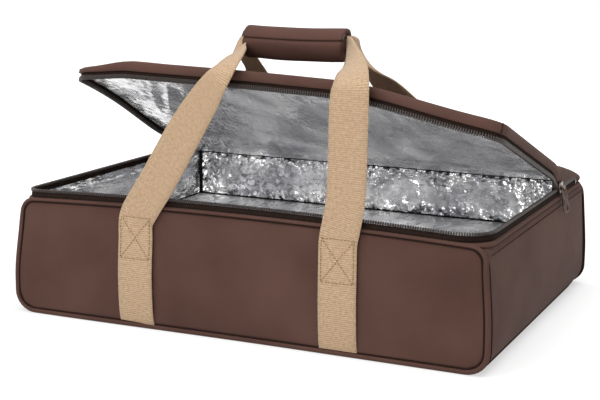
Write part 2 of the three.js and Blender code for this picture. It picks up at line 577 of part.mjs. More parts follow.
// The free run of each strap from its sewn end to the grip. A station gives its shares of the way across,
// along and up to the grip, its share of the webbing's width, and the way its face looks.
const strapRuns = {
  front_left: [
    { across: 0.13, along: -0.023, up: 0.175, width: 1, face: [0, -1, 0] },
    { across: 0.515, along: -0.028, up: 0.45, width: 1, face: [0, -1, 0] },
    { across: 0.86, along: -0.028, up: 0.675, width: 1, face: [0, -1, 0] },
    { across: 1.005, along: 0.012, up: 0.795, width: 1, face: [0, -0.9, 0.4] },
    { across: 1.035, along: 0.21, up: 0.885, width: 1, face: [0, -0.5, 0.85] },
    { across: 0.89, along: 0.59, up: 0.93, width: 0.9, face: [-0.2, -0.4, 0.9] },
    { across: 0.8, along: 0.88, up: 0.978, width: 0.68, face: [-0.4, -0.6, 0.7] },
  ],
  front_right: [
    { across: -0.085, along: -0.023, up: 0.175, width: 1, face: [0, -1, 0] },
    { across: -0.195, along: -0.028, up: 0.45, width: 1, face: [0, -1, 0] },
    { across: -0.225, along: -0.028, up: 0.65, width: 1, face: [0, -1, 0] },
    { across: -0.14, along: 0.012, up: 0.775, width: 1, face: [0, -0.9, 0.4] },
    { across: 0.03, along: 0.21, up: 0.868, width: 1, face: [0, -0.5, 0.85] },
    { across: 0.365, along: 0.59, up: 0.93, width: 0.9, face: [0.2, -0.4, 0.9] },
    { across: 0.608, along: 0.88, up: 0.978, width: 0.68, face: [0.4, -0.6, 0.7] },
  ],
  back_left: [
    { across: 0.015, along: -0.009, up: 0.175, width: 1, face: [0, 1, 0] },
    { across: 0.06, along: 0.001, up: 0.32, width: 1, face: [0, 0.9, 0.4] },
    { across: 0.285, along: 0.286, up: 0.58, width: 1, face: [0, 0.5, 0.85] },
    { across: 0.645, along: 0.655, up: 0.812, width: 1, face: [0, 0.45, 0.9] },
    { across: 0.83, along: 0.86, up: 0.922, width: 0.9, face: [-0.2, 0.4, 0.9] },
    { across: 0.8, along: 0.955, up: 0.978, width: 0.68, face: [-0.4, 0.6, 0.7] },
  ],
  back_right: [
    { across: 0, along: -0.009, up: 0.175, width: 1, face: [0, 1, 0] },
    { across: 0.028, along: 0.001, up: 0.32, width: 1, face: [0, 0.9, 0.4] },
    { across: 0.112, along: 0.286, up: 0.58, width: 1, face: [0, 0.5, 0.85] },
    { across: 0.392, along: 0.655, up: 0.812, width: 1, face: [0, 0.45, 0.9] },
    { across: 0.672, along: 0.86, up: 0.922, width: 0.9, face: [0.2, 0.4, 0.9] },
    { across: 0.608, along: 0.955, up: 0.978, width: 0.68, face: [0.4, 0.6, 0.7] },
  ],
};

// Straps sewn flat on the front and back panels, and their free runs up to the handle.
function addStraps() {
  const sewnBottom = PIPING_SIZE + SEAM_GAP;
  const half = WEBBING_WIDTH / 2;
  const gripHalf = GRIP_WEBBING_WIDTH / 2;
  const sewnFace = panelY + SEAM_GAP;
  const sewnOuter = sewnFace + WEBBING_THICKNESS;
  const freeBottom = SEWN_TOP + SEAM_GAP;
  const gripEnd = WRAP_LENGTH / 2 + SEAM_GAP;
  for (const [name, stations] of Object.entries(strapRuns)) {
    const side = name.endsWith('left') ? -1 : 1;
    const depthSide = name.startsWith('front') ? -1 : 1;
    const low = new THREE.Vector3(side * STRAP_X, (depthSide * (sewnFace + sewnOuter)) / 2, freeBottom);
    const gripY = handleY + (depthSide * GRIP_WEBBING_SPACING) / 2;
    const grip = new THREE.Vector3(HANDLE_X + side * gripEnd, gripY, handleZ);
    const outwards = [0, depthSide, 0];
    const way = grip.clone().sub(low);
    const points = stations.map(({ across, along, up, width, face }) => ({
      at: [low.x + across * way.x, low.y + along * way.y, low.z + up * way.z],
      half: half * width,
      face,
    }));
    const run = [
      { at: low.toArray(), half, face: outwards },
      { at: [low.x, low.y, low.z + STRAP_STRAIGHT], half, face: outwards },
      ...points,
      { at: [grip.x + side * STRAP_STRAIGHT, grip.y, grip.z], half: gripHalf, face: outwards },
      { at: grip.toArray(), half: gripHalf, face: outwards },
    ];
    const sewn = new THREE.BoxGeometry(WEBBING_WIDTH, WEBBING_THICKNESS, SEWN_TOP - sewnBottom);
    sewn.translate(low.x, low.y, (SEWN_TOP + sewnBottom) / 2);
    addMesh(bag, `${name}_strap_sewn`, sewn, webbing());
    addMesh(bag, `${name}_strap`, ribbon(run, WEBBING_THICKNESS), webbing());
  }
}

// A piece of a sleeve round the handle's axis, between two radii and two angles from +Y towards +Z.
function sleevePiece(inner, thickness, startAngle, endAngle, length) {
  const start = THREE.MathUtils.degToRad(startAngle);
  const end = THREE.MathUtils.degToRad(endAngle);
  const shape = new THREE.Shape();
  shape.absarc(0, 0, inner + thickness, start, end);
  shape.absarc(0, 0, inner, end, start, true);
  const geometry = new THREE.ExtrudeGeometry(shape, {
    depth: length, bevelEnabled: false, curveSegments: sleeveSteps,
  });
  geometry.rotateX(Math.PI / 2).rotateZ(Math.PI / 2);
  return geometry.translate(HANDLE_X - length / 2, handleY, handleZ);
}

// Handle: both webbing runs inside a slit sleeve, closed by a flap with hook and loop.
function addHandle() {
  const gripHalf = WRAP_LENGTH / 2;
  const x0 = HANDLE_X - gripHalf;
  const x1 = HANDLE_X + gripHalf;
  const z0 = handleZ - GRIP_WEBBING_WIDTH / 2;
  const z1 = handleZ + GRIP_WEBBING_WIDTH / 2;
  for (const [name, side] of [['front', -1], ['back', 1]]) {
    const y = handleY + (side * GRIP_WEBBING_SPACING) / 2;
    const run = boxBetween(x0, x1, y - WEBBING_THICKNESS / 2, y + WEBBING_THICKNESS / 2, z0, z1);
    addMesh(bag, `${name}_grip_webbing`, run, webbing());
  }
  const slitEnd = SLIT_START_ANGLE + 360;
  const sleeve = sleevePiece(WRAP_INNER_RADIUS, WRAP_THICKNESS, SLIT_END_ANGLE, slitEnd, WRAP_LENGTH);
  addMesh(bag, 'handle_wrap', sleeve, cloth());
  for (const [name, radius] of [['loop', loopRadius], ['hook', hookRadius]]) {
    const strip = sleevePiece(radius, HOOK_LOOP_THICKNESS, HOOK_LOOP_START_ANGLE, HOOK_LOOP_END_ANGLE,
      WRAP_LENGTH);
    addMesh(bag, `${name}_strip`, strip, binding());
  }
  const flap = sleevePiece(flapRadius, FLAP_THICKNESS, FLAP_ROOT_ANGLE, FLAP_EDGE_ANGLE, WRAP_LENGTH);
  addMesh(bag, 'handle_flap', flap, cloth());
}

addPanels();
addPiping();
addFoam();
addLining();
addBindings();
addRim();
addSlider();
addLid();
addRearLid();
addStraps();
addHandle();

export default bag;
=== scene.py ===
"""An insulated delivery bag in brown coated cloth: padded shell, foil lining, zipped soft lid, webbing and handle."""
import json
import math
from functools import partial

import bmesh
import bpy
from mathutils import Matrix, Vector, noise


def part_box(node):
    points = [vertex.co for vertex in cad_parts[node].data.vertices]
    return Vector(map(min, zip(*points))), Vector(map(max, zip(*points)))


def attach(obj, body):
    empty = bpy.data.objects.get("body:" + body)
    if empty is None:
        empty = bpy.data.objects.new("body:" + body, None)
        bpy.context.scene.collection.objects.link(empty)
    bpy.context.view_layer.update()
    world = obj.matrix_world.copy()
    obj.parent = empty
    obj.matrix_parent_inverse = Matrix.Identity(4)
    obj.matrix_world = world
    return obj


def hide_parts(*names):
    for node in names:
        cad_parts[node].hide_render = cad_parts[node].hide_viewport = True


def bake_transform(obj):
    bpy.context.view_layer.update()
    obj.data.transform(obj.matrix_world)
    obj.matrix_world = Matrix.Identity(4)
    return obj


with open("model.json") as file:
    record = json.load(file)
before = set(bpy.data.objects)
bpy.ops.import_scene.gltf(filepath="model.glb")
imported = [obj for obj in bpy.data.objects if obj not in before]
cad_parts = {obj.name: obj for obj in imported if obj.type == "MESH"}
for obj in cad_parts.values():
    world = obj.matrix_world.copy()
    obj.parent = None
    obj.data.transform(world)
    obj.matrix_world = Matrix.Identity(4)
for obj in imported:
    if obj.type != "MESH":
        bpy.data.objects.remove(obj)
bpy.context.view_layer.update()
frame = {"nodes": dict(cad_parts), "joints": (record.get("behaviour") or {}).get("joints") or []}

MM = 0.001
UP = Vector((0, 0, 1))
FORWARD = Vector((0, -1, 0))
SIDES = (("left", -1), ("right", 1))
ENDS = (("front", -1), ("back", 1))

# Sizes of the bag, read from the frame
PIPING_LOW, PIPING_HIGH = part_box("front_piping")
PANEL_LOW, PANEL_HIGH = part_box("front_panel")
TAPE_LOW, TAPE_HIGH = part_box("body_zip_tape")
COIL_LOW, COIL_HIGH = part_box("body_zip_coil")
WRAP_LOW, WRAP_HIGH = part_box("handle_wrap")
HANDLE = (WRAP_LOW + WRAP_HIGH) / 2
HALF_WIDTH = PIPING_HIGH.x
HALF_DEPTH = -PIPING_LOW.y
RIM_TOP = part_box("rim_strip")[1].z
FLOOR_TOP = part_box("floor_liner")[1].z
INSIDE_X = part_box("right_liner")[0].x
INSIDE_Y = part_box("back_liner")[0].y
TAPE_INSET = TAPE_LOW.x + HALF_WIDTH
COIL_INSET = COIL_LOW.x + HALF_WIDTH
ZIP_END_Y = TAPE_HIGH.y
JOINTS = {joint["name"]: joint for joint in frame["joints"]}

# Sizes that the soft pieces add
RIM_RADIUS = 24 * MM
ZIP_RIGHT_RADIUS = 39 * MM
BASE_RADIUS = 22 * MM
PANEL_TOP_RADIUS = 12 * MM
PANEL_TOP = PANEL_HIGH.z + 4.5 * MM
PANEL_INSET = 1.5 * MM
PIPING_RADIUS = 3 * MM
PAD_THICKNESS = 10 * MM
SEWN_EDGE = 8 * MM
SAG_TOP, SAG_FOOT = 118 * MM, 35 * MM
SAG_OUT = 5 * MM
SAG_FORWARD = 6 * MM
SAG_START = 60 * MM
RIM_LIFT = 6 * MM
LIFT_FOOT, LIFT_TOP = 70 * MM, 116 * MM
WEBBING_WIDTH = 38 * MM
WEBBING_THICKNESS = 1.8 * MM
TOOTH_PITCH = 2.4 * MM
STITCH_PITCH = 3.6 * MM
LINE_STEP = 6 * MM
VOXEL = 5 * MM
CLOTH_PRESSURE = 4.0
CLOTH_FRAMES = 20

# Lid, drawn shut and then swung open about its slanted fold
FOLD_PIVOT = Vector(JOINTS["lid_fold"]["pos_m"])
FOLD_AXIS = Vector(JOINTS["lid_fold"]["axis"])
FOLD_ANGLE = -math.radians(JOINTS["lid_fold"]["range_deg"][0])
FOLD_FORWARD = UP.cross(FOLD_AXIS)
BEND_BEHIND = 6 * MM
BEND_AHEAD = 30 * MM
LID_INSET = 2.5 * MM
LID_TOP = 149.5 * MM
LID_FOOT = 138.3 * MM
LID_TAPE_FOOT = 131 * MM
LID_COIL_FOOT = 130.7 * MM
LID_BACK_DROP = 27 * MM
LID_DRAW_IN = 46 * MM
LID_DRAW_BACK = 12 * MM
LID_PUSH_OUT = 6 * MM
LID_ARCH = 18.5 * MM
LID_DROOP = 23 * MM
LID_REACH = 320 * MM
LID_FRONT_SPAN = 40 * MM, 300 * MM
LID_LEFT_SPAN = -40 * MM, HALF_WIDTH
LID_RIGHT_SPAN = 110 * MM, HALF_WIDTH
LID_CORNER_SPAN = 170 * MM, 245 * MM
LID_DROOP_SPAN = 85 * MM, 270 * MM
MESHED_SPAN = -32 * MM, -8 * MM
MESHED_OVERLAP = 1.5 * MM
ZIP_BELOW_LID = 5 * MM


def linear(hex_colour):
    """An sRGB hex colour as linear red, green, blue and alpha."""
    channels = [int(hex_colour[i:i + 2], 16) / 255 for i in (1, 3, 5)]
    return [c / 12.92 if c <= 0.04045 else ((c + 0.055) / 1.055) ** 2.4 for c in channels] + [1.0]


def smooth_share(value, start, end):
    """0 before start, 1 after end, and a smooth step between."""
    t = min(1.0, max(0.0, (value - start) / (end - start)))
    return t * t * (3 - 2 * t)


def settled(point):
    """Where a point of the soft body settles: wider and further forward low down, its front rim held up by the
    straps."""
    low = smooth_share(point.z, SAG_TOP, SAG_FOOT)
    side = (abs(point.x) / HALF_WIDTH) ** 4
    front = smooth_share(-point.y, SAG_START, HALF_DEPTH)
    left = smooth_share(-point.x, -SAG_START, HALF_WIDTH)
    middle = max(0.0, 1 - (point.x / HALF_WIDTH) ** 2)
    lift = RIM_LIFT * middle * front * smooth_share(point.z, LIFT_FOOT, LIFT_TOP)
    return point + Vector((math.copysign(SAG_OUT * low * side, point.x), -SAG_FORWARD * low * front * left, lift))


# Materials

def add_node(tree, kind, settings=None, inputs=None, out=0, stops=()):
    """Adds a shader node with its settings, its inputs as values or as sockets to link from, and its colour stops.
    Returns one of its outputs, or all of them."""
    node = tree.nodes.new(f"ShaderNode{kind}")
    for key, value in (settings or {}).items():
        setattr(node, key, value)
    for key, value in (inputs or {}).items():
        if isinstance(value, bpy.types.NodeSocket):
            tree.links.new(value, node.inputs[key])
        else:
            node.inputs[key].default_value = value
    for k, (position, colour) in enumerate(stops):
        node.color_ramp.elements[k].position = position
        node.color_ramp.elements[k].color = linear(colour)
    return node.outputs if out is None else node.outputs[out]


def node_adder(holder):
    """Empties the nodes of a material or a world, and returns the function that adds new ones."""
    holder.use_nodes = True
    holder.node_tree.nodes.clear()
    return partial(add_node, holder.node_tree)


def finished(name, recipe, *details, **more):
    """A material of nodes, made by a recipe."""
    material = bpy.data.materials.new(name)
    recipe(node_adder(material), *details, **more)
    return material


def add_surface(node, inputs):
    """Adds the surface shader and the output."""
    node("OutputMaterial", inputs={"Surface": node("BsdfPrincipled", inputs=inputs)}, out=None)


def wave_scale(spacing):
    """The scale that gives a wave pattern one band per spacing."""
    return 2 * math.pi / (20 * spacing)


def coated_polyester(node, dark, light):
    """Plain-woven polyester with a soft coating: a fine grid of threads, faint clouding and a satin sheen.
    The threads are drawn about twice as coarse as they are, so that they show, and each set shows where it lies in
    the surface."""
    place = node("TexCoord", out="Object")
    wave = {"Scale": wave_scale(0.6 * MM), "Distortion": 0.6, "Detail Scale": 3.0, "Vector": place}
    threads = [node("TexWave", {"bands_direction": axis, "wave_profile": "SIN"}, wave, "Fac") for axis in "XYZ"]
    waves = node("CombineXYZ", inputs=dict(enumerate(threads)))
    slant = node("VectorMath", {"operation": "ABSOLUTE"}, {0: node("TexCoord", out="Normal")})
    lying = node("VectorMath", {"operation": "SUBTRACT"}, {0: (1.0, 1.0, 1.0), 1: slant})
    weave = node("VectorMath", {"operation": "DOT_PRODUCT"}, {0: waves, 1: lying}, "Value")
    clouds = node("TexNoise", inputs={"Scale": 1 / (71.43 * MM), "Detail": 3.0, "Roughness": 0.5, "Vector": place})
    grain = node("TexNoise", inputs={"Scale": 1 / (1.1111 * MM), "Detail": 2.0, "Vector": place})
    tone = node("Math", {"operation": "MULTIPLY_ADD"}, {0: weave, 1: 0.08, 2: clouds})
    colour = node("ValToRGB", inputs={"Fac": tone}, stops=((0.25, dark), (1.0, light)))
    rough = node("MapRange", inputs={"Value": grain, "To Min": 0.62, "To Max": 0.82})
    low = node("Bump", inputs={"Strength": 0.25, "Distance": 0.8 * MM, "Height": clouds})
    bump = node("Bump", inputs={"Strength": 0.22, "Distance": 0.25 * MM, "Height": weave, "Normal": low})
    add_surface(node, {"IOR": 1.5, "Specular IOR Level": 0.08, "Sheen Weight": 0.02, "Sheen Roughness": 0.45,
                       "Base Color": colour, "Roughness": rough, "Normal": bump})


def metallised_film(node, dark, light, roughness, metallic):
    """Aluminium under a slightly milky plastic film, glued to foam: a bright metal broken by sharp little creases and
    flat facets, most of them near the seams. The crease amount comes with the mesh. Its colour is streaked pale and
    grey along the sheet: painted reflections of the creases."""
    place = node("TexCoord", out="Object")
    amount = node("Attribute", {"attribute_name": "crease"}, out="Fac")
    pulled = node("Mapping", inputs={"Rotation": (0.0, 0.0, 0.3), "Scale": (1.0, 0.35, 1.0), "Vector": place})
    bend = node("TexNoise", inputs={"Scale": 1 / (15 * MM), "Detail": 3.0, "Vector": pulled}, out=None)
    shift = node("VectorMath", {"operation": "SCALE"}, {0: bend["Color"], "Scale": 5 * MM})
    warped = node("VectorMath", {"operation": "ADD"}, {0: pulled, 1: shift})
    cells = node("TexVoronoi", inputs={"Scale": 1 / (4.5 * MM), "Vector": warped}, out=None)
    arm = node("VectorMath", {"operation": "SUBTRACT"}, {0: warped, 1: cells["Position"]})
    tilt = node("VectorMath", {"operation": "SUBTRACT"}, {0: cells["Color"], 1: (0.5, 0.5, 0.5)})
    facet = node("VectorMath", {"operation": "DOT_PRODUCT"}, {0: arm, 1: tilt}, "Value")
    centred = node("Math", {"operation": "SUBTRACT"}, {0: bend["Fac"], 1: 0.5})
    fold = node("Math", {"operation": "ABSOLUTE"}, {0: centred})
    both = node("Math", {"operation": "MULTIPLY_ADD"}, {0: fold, 1: 9 * MM, 2: facet})
    height = node("Math", {"operation": "MULTIPLY"}, {0: both, 1: amount})
    bump = node("Bump", inputs={"Strength": 1.0, "Distance": 1.0, "Height": height})
    # Pale and grey streaks along the sheet in the base colour: painted reflections of the creases.
    painted_reflection_streaks = node("TexNoise", inputs={"Scale": 1 / (45 * MM), "Detail": 7.0, "Roughness": 0.62, "Distortion": 0.6,
                                       "Vector": pulled})
    colour = node("ValToRGB", inputs={"Fac": painted_reflection_streaks}, stops=((0.4, dark), (0.6, light)))
    rough = node("MapRange", inputs={"Value": bend["Fac"], "To Min": roughness - 0.06, "To Max": roughness + 0.06})
    add_surface(node, {"Metallic": metallic, "IOR": 1.5, "Base Color": colour, "Roughness": rough, "Normal": bump})


def woven_tape(node, dark, light, rib_mm, cord_mm, depth_mm, specular=0.3, sheen=0.0):
    """Woven tape: ribs across its length and finer cords along it, read from the tape's own map in millimetres."""
    place = node("UVMap", {"uv_map": "tape"})
    ribs = node("TexWave", {"bands_direction": "Y"}, {"Scale": wave_scale(rib_mm), "Distortion": 0.8, "Detail": 1.0,
                                                      "Detail Scale": 0.4, "Vector": place}, "Fac")
    cords = node("TexWave", {"bands_direction": "X"}, {"Scale": wave_scale(cord_mm), "Distortion": 0.5,
                                                       "Detail Scale": 0.4, "Vector": place}, "Fac")
    fuzz = node("TexNoise", inputs={"Scale": 1 / 2.857, "Detail": 5.0, "Vector": place})
    weave = node("Math", {"operation": "MULTIPLY_ADD"}, {0: cords, 1: 0.35, 2: ribs})
    tone = node("Math", {"operation": "MULTIPLY_ADD"}, {0: weave, 1: 0.35, 2: fuzz})
    colour = node("ValToRGB", inputs={"Fac": tone}, stops=((0.4, dark), (1.0, light)))
    bump = node("Bump", inputs={"Strength": 0.6, "Distance": depth_mm * MM, "Height": weave})
    add_surface(node, {"Roughness": 0.85, "IOR": 1.5, "Specular IOR Level": specular, "Sheen Weight": sheen,
                       "Base Color": colour, "Normal": bump})


def moulded_nylon(node, dark, light):
    """Extruded nylon of the zip coil and of hook and loop tape: smooth, with a soft plastic shine."""
    speck = node("TexNoise", inputs={"Scale": 1 / (3 * MM), "Detail": 3.0, "Vector": node("TexCoord", out="Object")})
    colour = node("ValToRGB", inputs={"Fac": speck}, stops=((0.0, dark), (1.0, light)))
    rough = node("MapRange", inputs={"Value": speck, "To Min": 0.3, "To Max": 0.5})
    add_surface(node, {"IOR": 1.53, "Base Color": colour, "Roughness": rough})


def spun_thread(node, dark, light):
    """Spun polyester sewing thread: matte, with a short twist that flecks it light and dark."""
    twist = node("TexNoise", inputs={"Scale": 1 / (1.5 * MM), "Detail": 2.0, "Vector": node("TexCoord", out="Object")})
    colour = node("ValToRGB", inputs={"Fac": twist}, stops=((0.0, dark), (1.0, light)))
    bump = node("Bump", inputs={"Strength": 0.3, "Distance": 0.2 * MM, "Height": twist})
    add_surface(node, {"Roughness": 0.9, "Specular IOR Level": 0.1, "Base Color": colour, "Normal": bump})


def lacquered_zinc(node, dark, light):
    """Die-cast zinc with a brown lacquer: a hard satin coat, worn a little paler in patches."""
    wear = node("TexNoise", inputs={"Scale": 1 / (5 * MM), "Detail": 5.0, "Vector": node("TexCoord", out="Object")})
    colour = node("ValToRGB", inputs={"Fac": wear}, stops=((0.35, dark), (0.75, light)))
    rough = node("MapRange", inputs={"Value": wear, "To Min": 0.22, "To Max": 0.42})
    add_surface(node, {"Metallic": 0.75, "Coat Weight": 0.3, "Coat Roughness": 0.15, "Base Color": colour,
                       "Roughness": rough})


def cell_foam(node, dark, light):
    """Closed-cell foam: matte, with fine pores."""
    cells = node("TexVoronoi", inputs={"Scale": 1 / (1.5 * MM), "Vector": node("TexCoord", out="Object")})
    colour = node("ValToRGB", inputs={"Fac": cells}, stops=((0.0, light), (1.0, dark)))
    bump = node("Bump", inputs={"Strength": 0.4, "Distance": 0.4 * MM, "Height": cells})
    add_surface(node, {"Roughness": 0.95, "Base Color": colour, "Normal": bump})


brown_cloth = finished("coated_polyester_brown", coated_polyester, "#432E28", "#594139")
wrap_cloth = finished("coated_polyester_handle", coated_polyester, "#442F29", "#593F38")
foil_wall = finished("metallised_film_wall", metallised_film, "#B4B4B8", "#FFFFFF", 0.2, 0.85)
foil_lid = finished("metallised_film_lid", metallised_film, "#BABABE", "#FFFFFF", 0.18, 0.75)
# The floor's film is much paler and less metallic than the walls', so that it shows bright in the shade under the lid:
# painted light.
foil_floor_painted_light = finished("metallised_film_floor_painted_light", metallised_film, "#F0F0F1", "#FFFFFF", 0.28, 0.4)
tan_webbing = finished("polypropylene_webbing", woven_tape, "#937759", "#B69C80", 2.0, 1.3, 0.5, sheen=0.15)
zip_cloth = finished("polyester_zip_tape", woven_tape, "#160F0D", "#281D18", 1.0, 1.0, 0.2, specular=0.06)
black_tape = finished("polypropylene_binding", woven_tape, "#0D0C0C", "#1D1B1B", 1.4, 1.4, 0.25, specular=0.1)
coil_nylon = finished("nylon_coil", moulded_nylon, "#19120F", "#3F332E")
# Near black: the seam thread's own dark brown, and painted shade of the grooves the seams lie in.
seam_thread_and_shade = finished("polyester_thread_and_seam_shade", spun_thread, "#170D0A", "#271813")
tan_thread = finished("polyester_thread_tan", spun_thread, "#735C3C", "#917651")
slider_zinc = finished("lacquered_zinc", lacquered_zinc, "#35291F", "#66554D")
hook_nylon = finished("hook_and_loop_nylon", moulded_nylon, "#1D1716", "#37302E")
white_foam = finished("polyethylene_foam", cell_foam, "#C9C4BA", "#EDEAE2")


# Mesh helpers

def to_object(bm, name, material, smooth=True):
    """Turns a bmesh into a linked object with one material."""
    for face in bm.faces:
        face.smooth = smooth
    mesh = bpy.data.meshes.new(name)
    bm.to_mesh(mesh)
    bm.free()
    obj = bpy.data.objects.new(name, mesh)
    bpy.context.scene.collection.objects.link(obj)
    mesh.materials.append(material)
    return obj


def subdivided(obj):
    """Gives a piece a subdivision surface."""
    modifier = obj.modifiers.new("subdivision", "SUBSURF")
    modifier.levels = modifier.render_levels = 1
    return obj


def placed(obj, body, slot, *nodes):
    """Lets a piece ride on its body, in place of its frame nodes; its material slot is not used."""
    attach(obj, body)
    if nodes:
        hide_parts(*nodes)


def blended(obj, body, other, start, end, slot, *nodes):
    """Bakes a piece's placement into its mesh, in place of its frame nodes. Its two bodies and its material slot are
    not used.
    """
    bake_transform(obj)
    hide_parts(*nodes)


def filleted(corners, radii, step, closed=False):
    """Points along a line of corners, each rounded by its radius, about one step apart."""
    count = len(corners)
    points = []
    for i, corner in enumerate(corners):
        ends = not closed and i in (0, count - 1)
        if ends or radii[i] == 0:
            points.append(Vector(corner))
            continue
        before = (Vector(corner) - Vector(corners[i - 1])).normalized()
        after = (Vector(corners[(i + 1) % count]) - Vector(corner)).normalized()
        turn = before.angle(after)
        reach = radii[i] * math.tan(turn / 2)
        axis = before.cross(after).normalized()
        first = Vector(corner) - before * reach
        centre = first + axis.cross(before) * radii[i]
        steps = max(3, math.ceil(turn * radii[i] / step))
        for k in range(steps + 1):
            points.append(centre + Matrix.Rotation(turn * k / steps, 3, axis) @ (first - centre))
    path = []
    for here, there in zip(points, points[1:] + points[:1]):
        pieces = max(1, round((there - here).length / step))
        path += [here.lerp(there, k / pieces) for k in range(pieces)]
        if not closed and there is points[-1]:
            path.append(there)
            break
    return path


def straight(start, end, step=LINE_STEP):
    """Points along a straight line, about one step apart."""
    return filleted([start, end], [0, 0], step)


def tangents(path, closed):
    """The direction of a path at each of its points."""
    count = len(path)
    result = []
    for i in range(count):
        before = path[i - 1] if closed or i > 0 else path[0]
        after = path[(i + 1) % count] if closed or i < count - 1 else path[-1]
        result.append((after - before).normalized())
    return result


def ringed(name, rings, material, closed=False, across=(), path=()):
    """A closed profile extruded from ring to ring. A strip with offsets across and a path gets its own map."""
    bm = bmesh.new()
    verts = [bm.verts.new(point) for point in rings[0]]
    edges = [bm.edges.new((verts[i], verts[(i + 1) % len(verts)])) for i in range(len(verts))]
    made = [verts]
    for ring in rings[1:]:
        geometry = bmesh.ops.extrude_edge_only(bm, edges=edges)["geom"]
        fresh = {g for g in geometry if isinstance(g, bmesh.types.BMVert)}
        verts = [next(e.other_vert(v) for e in v.link_edges if e.other_vert(v) in fresh) for v in verts]
        for vert, point in zip(verts, ring):
            vert.co = point
        edges = [g for g in geometry if isinstance(g, bmesh.types.BMEdge) and set(g.verts) <= fresh]
        made.append(verts)
    if closed:
        first = [bm.edges.get((made[0][i - 1], made[0][i])) for i in range(len(verts))]
        bmesh.ops.bridge_loops(bm, edges=first + edges)
    else:
        for ring in (made[0], made[-1]):
            bm.faces.new(ring)
    bmesh.ops.recalc_face_normals(bm, faces=bm.faces)
    if path:
        map_tape(bm, made, across, path)
    return to_object(bm, name, material)


def map_tape(bm, rings, across, path):
    """Gives a strip its own map in millimetres: across its width and along its length."""
    layer = bm.loops.layers.uv.new("tape")
    along = [0.0]
    for here, there in zip(path, path[1:]):
        along.append(along[-1] + (there - here).length)
    places = {}
    for ring, v in zip(rings, along):
        for vert, u in zip(ring, across):
            places[vert] = (u / MM, v / MM)
    for face in bm.faces:
        for loop in face.loops:
            loop[layer].uv = places[loop.vert]


def swept(name, path, profile, material, up=UP, closed=False, shape=None):
    """A strip along a path: the profile holds offsets outwards and along up, and shape may move any point."""
    rings = []
    for point, tangent in zip(path, tangents(path, closed)):
        outward = tangent.cross(up).normalized()
        ring = [point + outward * out + up * rise for out, rise in profile]
        rings.append([shape(p) for p in ring] if shape else ring)
    return ringed(name, rings, material, closed, [out + rise for out, rise in profile], path)


def in_mm(*offsets):
    """A profile given in millimetres."""
    return [(out * MM, rise * MM) for out, rise in offsets]


def round_profile(radius, sides):
    """Offsets of a round cord."""
    return [(radius * math.cos(2 * math.pi * k / sides), radius * math.sin(2 * math.pi * k / sides))
            for k in range(sides)]


def copies(name, unit, places, material, shape=None):
    """Many copies of one small mesh, each at a matrix."""
    bm = bmesh.new()
    for matrix in places:
        start = len(bm.verts)
        bm.from_mesh(unit)
        bm.verts.ensure_lookup_table()
        bmesh.ops.transform(bm, matrix=matrix, verts=bm.verts[start:])
    if shape:
        for vert in bm.verts:
            vert.co = shape(vert.co)
    return to_object(bm, name, material)


def bevel_sharp(bm, angle_deg, offset, segments):
    """Rounds the edges that turn by more than an angle."""
    sharp = [e for e in bm.edges if len(e.link_faces) == 2 and e.calc_face_angle() > math.radians(angle_deg)]
    bmesh.ops.bevel(bm, geom=sharp, offset=offset, offset_type="OFFSET", affect="EDGES", segments=segments,
                    profile=0.5, material=-1, clamp_overlap=True)


def bevelled_block(size, bevel):
    """A small block with bevelled edges, as a mesh."""
    bm = bmesh.new()
    bmesh.ops.create_cube(bm, size=1, matrix=Matrix.Diagonal((*size, 1)))
    bevel_sharp(bm, 60, bevel, 1)
    mesh = bpy.data.meshes.new("block")
    bm.to_mesh(mesh)
    bm.free()
    return mesh


def stations(path, pitch):
    """Matrices evenly spaced along a path, X along it and Z up or across it."""
    places = []
    travelled = 0.0
    due = pitch / 2
    for here, there in zip(path, path[1:]):
        length = (there - here).length
        while length > 0 and due <= travelled + length:
            point = here.lerp(there, (due - travelled) / length)
            x = (there - here).normalized()
            side = UP.cross(x) if abs(x.z) < 0.9 else Vector((0, 1, 0)).cross(x)
            side.normalize()
            turn = Matrix((x, side, x.cross(side))).transposed()
            places.append(Matrix.Translation(point) @ turn.to_4x4())
            due += pitch
        travelled += length
    return places


def slab(name, outline, thickness):
    """A flat pad of shell cloth: a face of the outline, extruded by its thickness."""
    bm = bmesh.new()
    face = bm.faces.new([bm.verts.new(p) for p in outline])
    geometry = bmesh.ops.extrude_face_region(bm, geom=[face])["geom"]
    bmesh.ops.translate(bm, vec=thickness, verts=[g for g in geometry if isinstance(g, bmesh.types.BMVert)])
    bmesh.ops.recalc_face_normals(bm, faces=bm.faces)
    return to_object(bm, name, brown_cloth)


